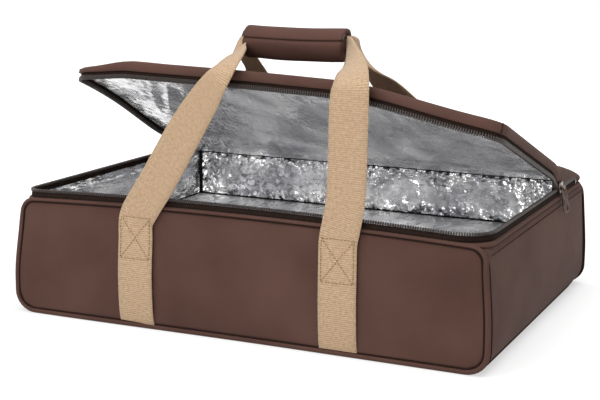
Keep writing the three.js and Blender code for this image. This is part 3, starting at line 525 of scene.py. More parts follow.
def puffed(obj, sewn, outward, cap):
    """Fills a flat pad: remeshed evenly, blown up by a short cloth run with its sewn edge held, and let out only
    along its outward direction, up to the cap."""
    remesh = obj.modifiers.new("even", "REMESH")
    remesh.mode = "VOXEL"
    remesh.voxel_size = VOXEL
    graph = bpy.context.evaluated_depsgraph_get()
    even = bpy.data.meshes.new_from_object(obj.evaluated_get(graph))
    obj.modifiers.clear()
    obj.data = even
    rest = [v.co.copy() for v in even.vertices]
    held = [i for i, co in enumerate(rest) if sewn(co)]
    obj.vertex_groups.new(name="sewn").add(held, 1.0, "REPLACE")
    cloth = obj.modifiers.new("cloth", "CLOTH")
    cloth.settings.vertex_group_mass = "sewn"
    cloth.settings.use_pressure = True
    cloth.settings.uniform_pressure_force = CLOTH_PRESSURE
    cloth.settings.effector_weights.gravity = 0
    cloth.settings.quality = 4
    cloth.point_cache.frame_end = CLOTH_FRAMES
    for step in range(1, CLOTH_FRAMES + 1):
        bpy.context.scene.frame_set(step)
    graph = bpy.context.evaluated_depsgraph_get()
    moved = [v.co.copy() for v in obj.evaluated_get(graph).data.vertices]
    obj.modifiers.clear()
    obj.vertex_groups.clear()
    bpy.context.scene.frame_set(1)
    for vert, start, end in zip(obj.data.vertices, rest, moved):
        way = outward(start)
        vert.co = start + way * min(cap, max(0.0, (end - start).dot(way)))
    for face in obj.data.polygons:
        face.use_smooth = True


def undulated(obj, direction, size, depth, seed, shape):
    """Gives a soft surface slow, shallow waves, and then its shape on the bag."""
    for vert in obj.data.vertices:
        wave = depth * noise.noise(vert.co / size + Vector((seed, seed, seed)))
        vert.co = shape(vert.co + direction(vert.co) * wave)


# Camera at the photo's view, as a pinhole of 600 by 400 pixels

def add_camera():
    """A camera turned by azimuth, elevation and roll, and set off from the frame's origin along its own axes."""
    focal_px = 1325.79
    image_width_px = 600
    azimuth, elevation, roll = 0.42946, 0.1968, 0.00888
    offset = Vector((-0.01512, 0.1044, 1.4528))
    back = Vector((math.sin(azimuth) * math.cos(elevation), -math.cos(azimuth) * math.cos(elevation),
                   math.sin(elevation)))
    right = Vector((math.cos(azimuth), math.sin(azimuth), 0))
    above = back.cross(right)
    turned_right = math.cos(roll) * right + math.sin(roll) * above
    turned_up = -math.sin(roll) * right + math.cos(roll) * above
    turn = Matrix((turned_right, turned_up, back)).transposed()
    data = bpy.data.cameras.new("photo_view")
    data.sensor_width = 36
    data.lens = data.sensor_width * focal_px / image_width_px
    data.clip_start = 0.05
    data.clip_end = 50
    camera = bpy.data.objects.new("photo_view", data)
    camera.matrix_world = Matrix.Translation(turn @ offset) @ turn.to_4x4()
    bpy.context.scene.collection.objects.link(camera)
    bpy.context.scene.camera = camera


# Lid geometry

def fold_y(x):
    """The fold line's Y at a given X."""
    return FOLD_PIVOT.y + (x - FOLD_PIVOT.x) * FOLD_AXIS.y / FOLD_AXIS.x


def opened(point):
    """A point of the shut lid where it is with the lid swung open: its front left corner thinned and drawn in by the
    strap, its front edge bowed up and its right corner drooping."""
    ahead = (point - FOLD_PIVOT).dot(FOLD_FORWARD)
    share = smooth_share(ahead, -BEND_BEHIND, BEND_AHEAD)
    front = smooth_share(ahead, *LID_FRONT_SPAN)
    along = min(1.0, max(0.0, ahead / LID_REACH))
    left = smooth_share(-point.x, *LID_LEFT_SPAN)
    right = smooth_share(point.x, *LID_RIGHT_SPAN)
    corner = smooth_share(-point.x, *LID_CORNER_SPAN) * front
    thinned = 0.5 * corner * max(0.0, point.z - LID_FOOT)
    arch = LID_ARCH - LID_DROOP * smooth_share(point.x, *LID_DROOP_SPAN) - 0.3 * LID_ARCH * corner
    drawn = point + Vector((LID_DRAW_IN * left * along + LID_PUSH_OUT * right * front,
                            LID_DRAW_BACK * left * front, arch * front - thinned))
    turn = Matrix.Rotation(FOLD_ANGLE * share, 3, FOLD_AXIS)
    return FOLD_PIVOT + turn @ (drawn - FOLD_PIVOT)


def back_drop(point):
    """How far the rear of the shut lid falls towards its back edge."""
    y = fold_y(point.x)
    share = min(1.0, max(0.0, (point.y - y) / (HALF_DEPTH - y)))
    return LID_BACK_DROP * share ** 1.25


def tucked(point):
    """A point of the lid's zip where it is with the lid open: meshed with the body's coil behind the slider, and kept
    under the falling rear of the lid."""
    meshed = smooth_share(point.y - fold_y(point.x), *MESHED_SPAN)
    z = point.z - meshed * (LID_COIL_FOOT - COIL_HIGH.z + MESHED_OVERLAP)
    ceiling = LID_TOP - back_drop(point) - ZIP_BELOW_LID
    return opened(Vector((point.x, point.y, min(z, max(ceiling, COIL_HIGH.z)))))


def placed_on_lid(obj, slot, *nodes):
    """Hands a lid piece to blended with the ends of the fold, in place of its frame nodes."""
    start = FOLD_PIVOT - FOLD_FORWARD * BEND_BEHIND
    end = FOLD_PIVOT + FOLD_FORWARD * BEND_AHEAD
    blended(obj, "bag", "lid", start, end, slot, *nodes)


# Rim lines

def rim_ring(inset, z, step=LINE_STEP):
    """The rim's plan outline as a closed line, travelling so that its right-hand side is outwards."""
    a, b = HALF_WIDTH - inset, HALF_DEPTH - inset
    corners = [(-a, b, z), (-a, -b, z), (a, -b, z), (a, b, z)]
    return filleted(corners, [RIM_RADIUS - inset] * 4, step, closed=True)


def zip_run(inset, z, step, right_radius):
    """The zip's line from its left end round the front to its right end."""
    a, b = HALF_WIDTH - inset, HALF_DEPTH - inset
    corners = [(-a, ZIP_END_Y, z), (-a, -b, z), (a, -b, z), (a, ZIP_END_Y, z)]
    return filleted(corners, [0, RIM_RADIUS - inset, right_radius - inset, 0], step)


# Body shell

def add_end_pad(end, side):
    """The padded front or back panel, crowned between its piping."""
    face_y = side * (HALF_DEPTH - PANEL_INSET)
    tuck = 2.6 * MM
    half = PANEL_HIGH.x + tuck
    low, high = PANEL_LOW.z - tuck, PANEL_TOP + 1 * MM
    lower_radius = BASE_RADIUS - (HALF_WIDTH - half)
    corners = [(-half, face_y, low), (half, face_y, low), (half, face_y, high), (-half, face_y, high)]
    radii = [lower_radius, lower_radius, PANEL_TOP_RADIUS, PANEL_TOP_RADIUS]
    outward = Vector((0, side, 0))
    pad = slab(f"{end}_pad", filleted(corners, radii, LINE_STEP, closed=True), -outward * PAD_THICKNESS)

    def sewn(co):
        near_side = abs(co.x) > half - SEWN_EDGE or co.z < low + SEWN_EDGE or co.z > high - SEWN_EDGE
        return near_side or (co.y - face_y) * side < -PAD_THICKNESS / 2

    puffed(pad, sewn, lambda co: outward, 3.2 * MM)
    undulated(pad, lambda co: outward, 90 * MM, 1.0 * MM, 3.0 + side, settled)
    placed(subdivided(pad), "bag", "outer_fabric", f"{end}_panel", f"{end}_foam")


def add_gusset_pad():
    """The padded sides and base in one piece, flat where it stands on the ground."""
    half = HALF_WIDTH - PANEL_INSET
    depth = HALF_DEPTH - PIPING_RADIUS

    def wall_line(inset):
        a, y, radius = half - inset, -depth, BASE_RADIUS - inset
        corners = [(-a, y, PANEL_TOP), (-a, y, inset), (a, y, inset), (a, y, PANEL_TOP)]
        return filleted(corners, [0, radius, radius, 0], LINE_STEP)

    pad = slab("gusset_pad", wall_line(0) + wall_line(PAD_THICKNESS)[::-1], Vector((0, 2 * depth, 0)))

    def sewn(co):
        inside = abs(co.x) < half - PAD_THICKNESS / 2 and co.z > PAD_THICKNESS / 2
        return abs(co.y) > depth - SEWN_EDGE or co.z > PANEL_TOP - SEWN_EDGE or inside

    def outward(co):
        if co.z < BASE_RADIUS:
            return Vector((0, 0, 0))
        return Vector((math.copysign(1, co.x), 0, 0))

    def wave_way(co):
        return outward(co) * smooth_share(co.z, BASE_RADIUS, 50 * MM)

    def grounded(point):
        point = settled(point)
        point.z = max(0.0, point.z)
        return point

    puffed(pad, sewn, outward, 3.0 * MM)
    undulated(pad, wave_way, 90 * MM, 1.0 * MM, 8.0, grounded)
    placed(subdivided(pad), "bag", "outer_fabric", "left_panel", "right_panel", "base_panel", "left_foam",
           "right_foam", "base_foam")


def add_base_welt(name, side):
    """A cord along the seam between a side and the base, with the seam's dark line above it, both sunk in at their
    ends."""
    reach = HALF_DEPTH - PIPING_RADIUS - 4 * MM
    centre = Vector((side * (HALF_WIDTH - PANEL_INSET - BASE_RADIUS), 0, BASE_RADIUS))
    steps = 60
    # The seam line is a near-black cord: stitching, and painted shade of the seam's groove.
    for kind, below_deg, radius, sides, material in (("welt", 58, 2.4 * MM, 10, brown_cloth),
                                                     ("seam", 46, 0.8 * MM, 6, seam_thread_and_shade)):
        below = math.radians(below_deg)
        outward = Vector((side * math.cos(below), 0, -math.sin(below)))
        line = []
        for k in range(steps + 1):
            y = reach * (2 * k / steps - 1)
            sunk = 1.3 * radius * (1 - smooth_share(reach - abs(y), 0, 25 * MM))
            line.append(settled(centre + outward * (BASE_RADIUS - sunk) + Vector((0, y, 0))))
        cord = swept(f"{name}_base_{kind}", line, round_profile(radius, sides), material)
        placed(cord, "bag", "outer_fabric")


def add_panel_cord(name, path, radius_at, sides, material, nodes=(), closed=True):
    """A round cord along a path near the plane of a panel, its radius varying from point to point."""
    rings = []
    for point, tangent in zip(path, tangents(path, closed)):
        outward = tangent.cross(FORWARD).normalized()
        rings.append([point + outward * out + FORWARD * rise for out, rise in round_profile(radius_at(point), sides)])
    placed(ringed(name, rings, material, closed), "bag", "outer_fabric", *nodes)


def panel_loop(half, low, high, lower_radius, y):
    """A closed line round a front or back panel."""
    corners = [(-half, y, high), (-half, y, low), (half, y, low), (half, y, high)]
    radii = [PANEL_TOP_RADIUS, lower_radius, lower_radius, PANEL_TOP_RADIUS]
    return [settled(p) for p in filleted(corners, radii, 4 * MM, closed=True)]


def add_piping(end, side):
    """A cord-filled piping all round the front or back panel, thinner along the top where it lies under the rim,
    with the dark line of the seam on either side of it."""
    path = panel_loop(HALF_WIDTH - PIPING_RADIUS, PIPING_RADIUS, PANEL_TOP + 1.2 * MM, BASE_RADIUS - PIPING_RADIUS,
                      side * (HALF_DEPTH - PIPING_RADIUS))

    def radius_at(point):
        return PIPING_RADIUS - 0.9 * MM * smooth_share(point.z, 95 * MM, 114 * MM)

    add_panel_cord(f"{end}_welt", path, radius_at, 12, brown_cloth, [f"{end}_piping"])
    # The seam lines either side of the piping are near-black cords: stitching, and painted shade of the seam's groove.
    inner = panel_loop(PANEL_HIGH.x + 0.5 * MM, PANEL_LOW.z - 0.5 * MM, PANEL_TOP - 0.4 * MM,
                       BASE_RADIUS - 2 * PIPING_RADIUS, side * (HALF_DEPTH - PANEL_INSET + 0.2 * MM))
    add_panel_cord(f"{end}_welt_inner_seam", inner, lambda point: 0.9 * MM, 8, seam_thread_and_shade)
    y = side * (HALF_DEPTH - 2 * PIPING_RADIUS - 0.2 * MM)
    outer, low, shoulder = HALF_WIDTH - 0.7 * MM, 0.7 * MM, 20 * MM
    end_x, end_z, turn_z = outer - 6 * MM, PANEL_TOP - 1 * MM, PANEL_TOP - 14 * MM
    corners = [(-end_x, y, end_z), (-outer, y, turn_z), (-outer, y, low), (outer, y, low), (outer, y, turn_z),
               (end_x, y, end_z)]
    line = [settled(p) for p in filleted(corners, [0, shoulder, BASE_RADIUS, BASE_RADIUS, shoulder, 0], 4 * MM)]
    add_panel_cord(f"{end}_welt_outer_seam", line, lambda point: 0.8 * MM, 6, seam_thread_and_shade, closed=False)


stitch_unit = bevelled_block((2.5 * MM, 0.75 * MM, 0.7 * MM), 0.25 * MM)


def add_rim_strip():
    """The narrow welt above the panels, and a row of stitches below it on each side panel."""
    profile = in_mm((-3, -0.4), (-0.2, -0.4), (0.7, 0.5), (1.0, 1.6), (0.6, 2.6), (-0.6, 3.2), (-1.8, 3.4), (-3, 3.3))
    strip = swept("rim_welt", rim_ring(PANEL_INSET, PANEL_TOP), profile, brown_cloth, closed=True, shape=settled)
    placed(subdivided(strip), "bag", "outer_fabric", "rim_strip")
    reach = HALF_DEPTH - 12 * MM
    for name, side in SIDES:
        x, z = side * (HALF_WIDTH - PANEL_INSET + 1.0 * MM), PANEL_TOP - 7 * MM
        places = stations(straight((x, -reach, z), (x, reach, z)), STITCH_PITCH)
        placed(copies(f"{name}_rim_stitches", stitch_unit, places, seam_thread_and_shade, settled), "bag", "outer_fabric")


def add_rim_corner():
    """The bit of shell cloth in the front right corner, between the rim's cord and the wider turn of the zip."""
    top, foot = TAPE_LOW.z + 0.8 * MM, TAPE_LOW.z - 1.2 * MM
    rings = []
    steps = 12
    for k in range(steps + 1):
        turn = math.radians(90 * k / steps - 90)
        ring = []
        for radius, inset, heights in ((RIM_RADIUS, PANEL_INSET, (top, foot)),
                                       (ZIP_RIGHT_RADIUS, TAPE_INSET + 1.5 * MM, (foot, top))):
            x = HALF_WIDTH - radius + (radius - inset) * math.cos(turn)
            y = -HALF_DEPTH + radius + (radius - inset) * math.sin(turn)
            ring += [settled(Vector((x, y, z))) for z in heights]
        rings.append(ring)
    placed(ringed("rim_corner", rings, brown_cloth), "bag", "outer_fabric")


# Zip

def add_body_zip():
    """The body's half of the zip: a standing tape with the coil along its top."""
    profile = in_mm((0.3, -1.0), (0.6, 2.5), (0.0, 6.6), (-1.2, 6.6), (-0.8, 2.5), (-1.0, -1.0))
    run = zip_run(TAPE_INSET, TAPE_LOW.z, 5 * MM, ZIP_RIGHT_RADIUS)
    placed(swept("body_tape", run, profile, zip_cloth, shape=settled), "bag", "zip_tape", "body_zip_tape")
    tooth = bevelled_block((1.3 * MM, 3.2 * MM, 3.0 * MM), 0.4 * MM)
    middle = zip_run(COIL_INSET + 1.5 * MM, (COIL_LOW.z + COIL_HIGH.z) / 2, 2 * MM, ZIP_RIGHT_RADIUS)
    coil = copies("body_coil", tooth, stations(middle, TOOTH_PITCH), coil_nylon, settled)
    placed(coil, "bag", "zip_coil", "body_zip_coil")


def add_lid_zip():
    """The lid's half of the zip, bending with the lid at the fold."""
    profile = in_mm((-1.1, 8.4), (-0.9, 4.4), (-1.2, 1.6), (0.0, 1.6), (0.4, 4.4), (0.1, 8.4))
    run = zip_run(TAPE_INSET, LID_TAPE_FOOT, 5 * MM, RIM_RADIUS)
    tape = swept("lid_tape", run, profile, zip_cloth, shape=tucked)
    placed_on_lid(tape, "zip_tape", "lid_zip_tape", "lid_rear_zip_left", "lid_rear_zip_right")
    tooth = bevelled_block((1.3 * MM, 3.4 * MM, 4.4 * MM), 0.4 * MM)
    middle = zip_run(COIL_INSET + 0.6 * MM, LID_COIL_FOOT + 2.2 * MM, 2 * MM, RIM_RADIUS)
    coil = copies("lid_coil", tooth, stations(middle, TOOTH_PITCH), coil_nylon, tucked)
    placed_on_lid(coil, "zip_coil", "lid_zip_coil")


# Lid

def add_lid_cover():
    """The padded top of the lid in one piece, crowned, falling to the hinge at the back, bending at the fold."""
    bottom = LID_TOP - PAD_THICKNESS
    pad = slab("lid_cover", rim_ring(LID_INSET, bottom, 8 * MM), UP * PAD_THICKNESS)

    def sewn(co):
        near = abs(co.x) > HALF_WIDTH - LID_INSET - SEWN_EDGE or abs(co.y) > HALF_DEPTH - LID_INSET - SEWN_EDGE
        return near or co.z < LID_TOP - PAD_THICKNESS / 2

    def hung(point):
        hinge_z = RIM_TOP + 2 * MM + 0.3 * (point.z - bottom)
        point.z = max(point.z - back_drop(point), hinge_z)
        return opened(point)

    puffed(pad, sewn, lambda co: UP, 4 * MM)
    undulated(pad, lambda co: UP * smooth_share(co.z, bottom, LID_TOP), 110 * MM, 1.5 * MM, 4.0, hung)
    placed_on_lid(subdivided(pad), "outer_fabric", "lid_panel", "lid_rear_panel", "lid_foam", "lid_rear_foam")


def add_lid_band():
    """The band round the lid's edge: upright at the front and sides, closing on the rim behind the slider, and
    falling to the hinge at the back, with a dark seam at each front corner."""
    path = rim_ring(LID_INSET, 0)
    rows = 5
    zipped_foot = COIL_HIGH.z + 1 * MM
    rings = []
    for point, tangent in zip(path, tangents(path, True)):
        outward = tangent.cross(UP)
        fold = fold_y(point.x)
        foot = LID_FOOT + smooth_share(point.y, fold - 40 * MM, fold + 8 * MM) * (zipped_foot - LID_FOOT)
        foot += smooth_share(point.y, ZIP_END_Y - 20 * MM, HALF_DEPTH - LID_INSET) * (RIM_TOP - zipped_foot)
        head = max(LID_TOP - 1.0 * MM - back_drop(point), foot + 2 * MM)
        outer = []
        inner = []
        for k in range(rows + 1):
            t = k / rows
            z = foot + (head - foot) * t
            bulge = 1.6 * MM * math.sin(math.pi * t)
            outer.append(opened(point + outward * bulge + UP * z))
            inner.append(opened(point - outward * 1.5 * MM + UP * z))
        rings.append(outer + inner[::-1])
    band = ringed("lid_band_cloth", rings, brown_cloth, closed=True)
    placed_on_lid(subdivided(band), "outer_fabric", "lid_band", "lid_rear_band")
    # Each front corner's seam is a near-black strip: stitching, and painted shade of the seam's groove.
    seam_unit = bevelled_block((0.9 * MM, 1.2 * MM, LID_TOP - LID_FOOT - 1.5 * MM), 0.3 * MM)
    middle_z = (LID_TOP + LID_FOOT) / 2 - 0.4 * MM
    turn = math.radians(60)
    reach = RIM_RADIUS - LID_INSET + 1.1 * MM
    places = []
    for _, side in SIDES:
        corner = Matrix.Translation((side * (HALF_WIDTH - RIM_RADIUS + reach * math.sin(turn)),
                                     -HALF_DEPTH + RIM_RADIUS - reach * math.cos(turn), middle_z))
        places.append(corner @ Matrix.Rotation(side * turn, 4, "Z"))
    placed(copies("lid_corner_seams", seam_unit, places, seam_thread_and_shade, opened), "lid", "outer_fabric")


def crumple(point, seed, across, along, amount):
    """Height of the foil's creases: long ones that run along the sheet, and short sharp ridges where it is creased."""
    offset = Vector((seed, 2 * seed, 3 * seed))
    width, length, small_width = 24 * MM, 130 * MM, 10 * MM
    line = Vector((point.dot(across) / width, point.dot(along) / length, 0.0))
    long, ridge, small = (max(0.0, 1 - abs(noise.noise(spot + offset)) * 2)
                          for spot in (line, point / width, point / small_width))
    return 1.6 * MM * long + amount * (0.8 * MM * ridge + 0.45 * MM * small)


def foil_sheet(name, columns, rows, place, facing, seed, material, shape, across, along, calm=0.2, pleats=0.0,
               border=50 * MM):
    """A foil lining: a fine grid placed by its shares across and up, creased most near its edges, and drawn into
    small pleats along its top."""
    bm = bmesh.new()
    bmesh.ops.create_grid(bm, x_segments=columns, y_segments=rows, size=0.5)
    layer = bm.verts.layers.float.new("crease")
    for vert in bm.verts:
        u, v = vert.co.x + 0.5, vert.co.y + 0.5
        point, (width, height) = place(u, v)
        near_side = 1 - smooth_share(min(u, 1 - u) * width, 0.15 * border, border)
        near_end = 1 - smooth_share(min(v, 1 - v) * height, 6 * MM, 24 * MM)
        patch = smooth_share(noise.noise(point / (55 * MM) + Vector((seed, 0, 0))), 0.0, 0.4)
        amount = max(calm, 0.9 * max(near_side, near_end), patch)
        vert[layer] = amount
        pinned = min(1.0, 12 * min(u, 1 - u), 6 * min(v, 1 - v))
        below_top = (1 - v) * height
        fold = pleats * math.sin(2 * math.pi * below_top / (5.5 * MM)) * (1 - smooth_share(below_top, 10 * MM, 16 * MM))
        rise = crumple(point, seed, Vector(across), Vector(along), amount) * pinned + fold
        vert.co = shape(point + facing * rise)
    return to_object(bm, name, material)


def add_lid_lining():
    """The foil under the lid, falling to the hinge line at the back."""
    inset = 6.5 * MM
    half_x = HALF_WIDTH - inset
    front = -HALF_DEPTH + inset
    back = INSIDE_Y - 1.0 * MM
    level = LID_TOP - PAD_THICKNESS - 0.6 * MM
    hinge_z = RIM_TOP + 0.8 * MM
    edge_z = LID_FOOT - 0.5 * MM
    corner = RIM_RADIUS - inset
    roll = 14 * MM

    def place(u, v):
        x = (2 * u - 1) * half_x
        y = front + (back - front) * v
        over_x = max(0.0, abs(x) - (half_x - corner))
        over_y = max(0.0, (front + corner) - y)
        if over_x > 0 and over_y > 0:
            inward = max(over_x, over_y) / math.hypot(over_x, over_y)
            x = math.copysign(half_x - corner + over_x * inward, x)
            y = front + corner - over_y * inward
        near = max(abs(x) - (half_x - roll), (front + roll) - y, 0.0) / roll
        z = level + (edge_z - level) * min(1.0, near) ** 2
        z += (hinge_z - z) * smooth_share(y, back - 75 * MM, back)
        return Vector((x, y, z)), (2 * half_x, back - front)

    lining = foil_sheet("lid_lining", 150, 112, place, -UP, 5.0, foil_lid, opened, (1, 0.35, 0), (0, 1, 0),
                        calm=0.1, border=roll)
    placed_on_lid(lining, "foil", "lid_liner", "lid_rear_liner")


# Lining of the body

def add_wall_lining(name, out_way, half, reach, columns, seed):
    """Foil on one wall, folded outwards at the top to meet the zip tape, except at the hinge, and cut lower in the
    front right corner, where the zip turns wider."""
    top = RIM_TOP + 2.0 * MM
    foot = FLOOR_TOP - 2 * MM
    height = top - foot
    lip = 0 if name == "back" else 7 * MM
    corner_drop = 6 * MM if name in ("front", "right") else 0
    run_way = Vector((1, 0, 0)) if out_way.y else Vector((0, 1, 0))

    def place(u, v):
        run = (2 * u - 1) * half
        to_corner = run if name == "front" else -run
        z = foot + height * v - corner_drop * v * smooth_share(to_corner, half - 40 * MM, half - 8 * MM)
        lap = lip * (1 - smooth_share(abs(run), half - 30 * MM, half))
        out = lap * smooth_share(z, top - 7 * MM, top)
        return run_way * run + out_way * (reach + out) + UP * z, (2 * half, height)

    lining = foil_sheet(f"{name}_lining", columns, 44, place, -out_way, seed, foil_wall, settled,
                        UP.cross(-out_way) + 0.5 * UP, UP, pleats=0.5 * MM)
    placed(lining, "bag", "foil", f"{name}_liner")


def add_floor_lining():
    """The smoother foil floor on the base pad, in a film drawn paler to paint light into its shade."""

    def place(u, v):
        return Vector(((2 * u - 1) * INSIDE_X, (2 * v - 1) * INSIDE_Y, FLOOR_TOP)), (2 * INSIDE_X, 2 * INSIDE_Y)

    lining = foil_sheet("floor_lining", 130, 100, place, UP, 6.0, foil_floor_painted_light, settled, (0.3, 1, 0), (1, 0, 0))
    placed(lining, "bag", "foil", "floor_liner")


def add_bindings():
    """Black tape bound over the seams, upright in the corners and along the lid's hinge, and a thin black cord round
    the floor's edges.
    """
    for end, sy in ENDS:
        for hand, sx in SIDES:
            x = sx * (INSIDE_X - 1.2 * MM)
            y = sy * (INSIDE_Y - 1.2 * MM)
            top = RIM_TOP + (-6 * MM if (end, hand) == ("front", "right") else 1 * MM)
            path = straight((x, y, FLOOR_TOP - 1 * MM), (x, y, top), 4 * MM)
            strip = swept(f"{end}_{hand}_seam_tape", path, round_profile(2.0 * MM, 10), black_tape,
                          up=Vector((sx, 0, 0)))
            placed(strip, "bag", "binding", f"{end}_{hand}_binding")
    # A thin black cord along the floor's edges draws the dark line where the floor meets the walls.
    a, b, z = INSIDE_X - 0.6 * MM, INSIDE_Y - 0.6 * MM, FLOOR_TOP + 0.6 * MM
    edge = filleted([(-a, b, z), (-a, -b, z), (a, -b, z), (a, b, z)], [0] * 4, LINE_STEP, closed=True)
    placed(swept("floor_seam", edge, round_profile(1.1 * MM, 8), black_tape, closed=True), "bag", "binding")
    y = INSIDE_Y - 1.4 * MM
    path = straight((-INSIDE_X, y, RIM_TOP), (INSIDE_X, y, RIM_TOP))
    profile = in_mm((-1.6, -1.4), (0.9, -1.4), (1.4, 0), (0.9, 1.4), (-1.6, 1.4))
    placed(swept("hinge_tape", path, profile, black_tape), "bag", "binding", "hinge_binding")


# Straps and handle

# Stations of each strap above its panel in millimetres, each with its share of the width and its facing
STRAP_RUNS = {
    "front_left": [
        ((-99, -190, 127), 1, (0, -1, 0)), ((-85, -190, 148), 1, (0, -1, 0)), ((-71, -190, 171), 1, (0, -1, 0)),
        ((-51, -190, 204), 0.96, (0, -1, 0)), ((-30, -190, 235.5), 0.82, (0, -1, 0)),
        ((-15, -188, 258), 0.64, (0, -0.9, 0.4)), ((-14, -168, 270), 0.56, (-0.1, -0.5, 0.85)),
        ((-26, -132, 274), 0.5, (-0.2, -0.5, 0.8)), ((-38, -103, 276), 0.44, (-0.3, -0.8, 0.5))],
    "front_right": [
        ((111, -190, 126), 1, (0, -1, 0)), ((115, -190, 150), 1, (0, -1, 0)), ((116.3, -190, 185), 1, (0, -1, 0)),
        ((116.5, -190, 216), 1, (0, -1, 0)), ((116.5, -189, 240), 0.99, (0, -1, 0.1)),
        ((115.5, -184, 256), 0.92, (0, -0.9, 0.4)), ((108, -163, 267), 0.78, (-0.1, -0.75, 0.7)),
        ((95, -132, 274), 0.56, (-0.4, -0.7, 0.5)), ((82, -106, 282), 0.42, (-0.7, -0.7, 0.3))],
    "back_left": [
        ((-107, 189, 132), 1, (0, 1, 0)), ((-105, 187, 152), 1, (0, 0.9, 0.4)), ((-98, 140, 166), 1, (0, 0.2, 1)),
        ((-84, 75, 193), 1, (0, 0.4, 0.9)), ((-68, 12, 226), 0.88, (0, 0.45, 0.9)),
        ((-59, -20, 241), 0.7, (0, 0.5, 0.85)), ((-51, -42, 249), 0.54, (-0.2, 0.6, 0.75)),
        ((-46, -60, 257), 0.44, (-0.4, 0.7, 0.5)), ((-43, -76, 267), 0.4, (-0.6, 0.7, 0.3))],
    "back_right": [
        ((108, 189, 132), 1, (0, 1, 0)), ((107, 187, 152), 1, (0, 0.9, 0.4)), ((104, 140, 164), 1, (0, 0.2, 1)),
        ((97, 75, 189), 1, (0, 0.4, 0.9)), ((88, 12, 222), 1, (0, 0.5, 0.85)), ((82, -25, 246), 0.95, (0.25, 0.5, 0.8)),
        ((77, -54, 267), 0.8, (0.75, 0.1, 0.65)), ((74, -74, 281), 0.5, (0.9, -0.2, 0.3))],
}

# Heights up the panel in millimetres, each with how far the sewn strap lies out from its node
STRAP_ON_PANEL = [(4, -2.5), (10, 0.4), (28, 2.6), (58, 3.8), (88, 3.4), (106, 2.4)]


def curve_through(values, t):
    """A smooth curve through values at whole numbers of t."""
    last = len(values) - 1
    i = min(int(t), last - 1)
    f = t - i
    a, b, c, d = (values[min(max(k, 0), last)] for k in (i - 1, i, i + 1, i + 2))
    return 0.5 * (2 * b + (c - a) * f + (2 * a - 5 * b + 4 * c - d) * f * f + (3 * b - a - 3 * c + d) * f ** 3)


def add_strap(end, depth_side, hand, side):
    """One strap: sewn flat up the panel, free over the rim, gathered into the end of the handle."""
    name = f"{end}_{hand}"
    sewn_low, sewn_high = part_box(f"{name}_strap_sewn")
    x, y = (sewn_low.x + sewn_high.x) / 2, (sewn_low.y + sewn_high.y) / 2
    outward = Vector((0, depth_side, 0))
    marks = [(settled(Vector((x, y, z * MM)) + outward * rise * MM), 1.0, outward) for z, rise in STRAP_ON_PANEL]
    marks += [(Vector(place) * MM, width, Vector(face)) for place, width, face in STRAP_RUNS[name]]
    grip = Vector((WRAP_HIGH.x if side > 0 else WRAP_LOW.x, HANDLE.y + depth_side * 2 * MM, HANDLE.z + 2 * MM))
    gathered = 0.42
    marks += [(grip - Vector((side * inset, 0, 0)), gathered, outward) for inset in (2 * MM, 16 * MM)]
    points, widths, faces = zip(*marks)
    spans = len(points) - 1
    steps_per_span = 9
    steps = spans * steps_per_span
    path = [curve_through(points, spans * k / steps) for k in range(steps + 1)]
    columns = 6
    selvedge = 1.012
    profile = [(c / columns * 2 - 1, 1) for c in range(columns + 1)] + [(selvedge, 0)]
    profile += [(1 - c / columns * 2, -1) for c in range(columns + 1)] + [(-selvedge, 0)]
    rings = []
    for k, (point, tangent) in enumerate(zip(path, tangents(path, False))):
        t = spans * k / steps
        half = WEBBING_WIDTH / 2 * curve_through(widths, t)
        across = tangent.cross(curve_through(faces, t)).normalized()
        normal = across.cross(tangent).normalized()
        rings.append([point + across * half * a + normal * (WEBBING_THICKNESS / 2) * n for a, n in profile])
    strap = ringed(f"{name}_webbing", rings, tan_webbing, False, [a * WEBBING_WIDTH / 2 for a, n in profile], path)
    blended(strap, "bag", "handle", (0, 0, 0.13), (0, 0, HANDLE.z - 8 * MM), "webbing", f"{name}_strap_sewn",
            f"{name}_strap")
    add_box_stitch(name, path, outward)


def add_box_stitch(name, path, outward):
    """The sewn box and cross that fastens a strap to its panel, lying on the strap's face."""
    half_width = WEBBING_WIDTH / 2 - 2.6 * MM
    low, high = 72 * MM, 113 * MM

    def at(x_share, z):
        below, above = next((a, b) for a, b in zip(path, path[1:]) if a.z <= z <= b.z)
        middle = below.lerp(above, (z - below.z) / (above.z - below.z))
        return middle + Vector((x_share * half_width, 0, 0)) + outward * (WEBBING_THICKNESS / 2 + 0.15 * MM)

    places = []
    pieces = 8
    for x0, z0, x1, z1 in ((-1, low, 1, low), (-1, high, 1, high), (-1, low, -1, high), (1, low, 1, high),
                           (-1, low, 1, high), (1, low, -1, high)):
        row = [at(x0 + (x1 - x0) * k / pieces, z0 + (z1 - z0) * k / pieces) for k in range(pieces + 1)]
        places += stations(row, STITCH_PITCH)
    placed(copies(f"{name}_box_stitch", stitch_unit, places, tan_thread), "bag", "webbing")


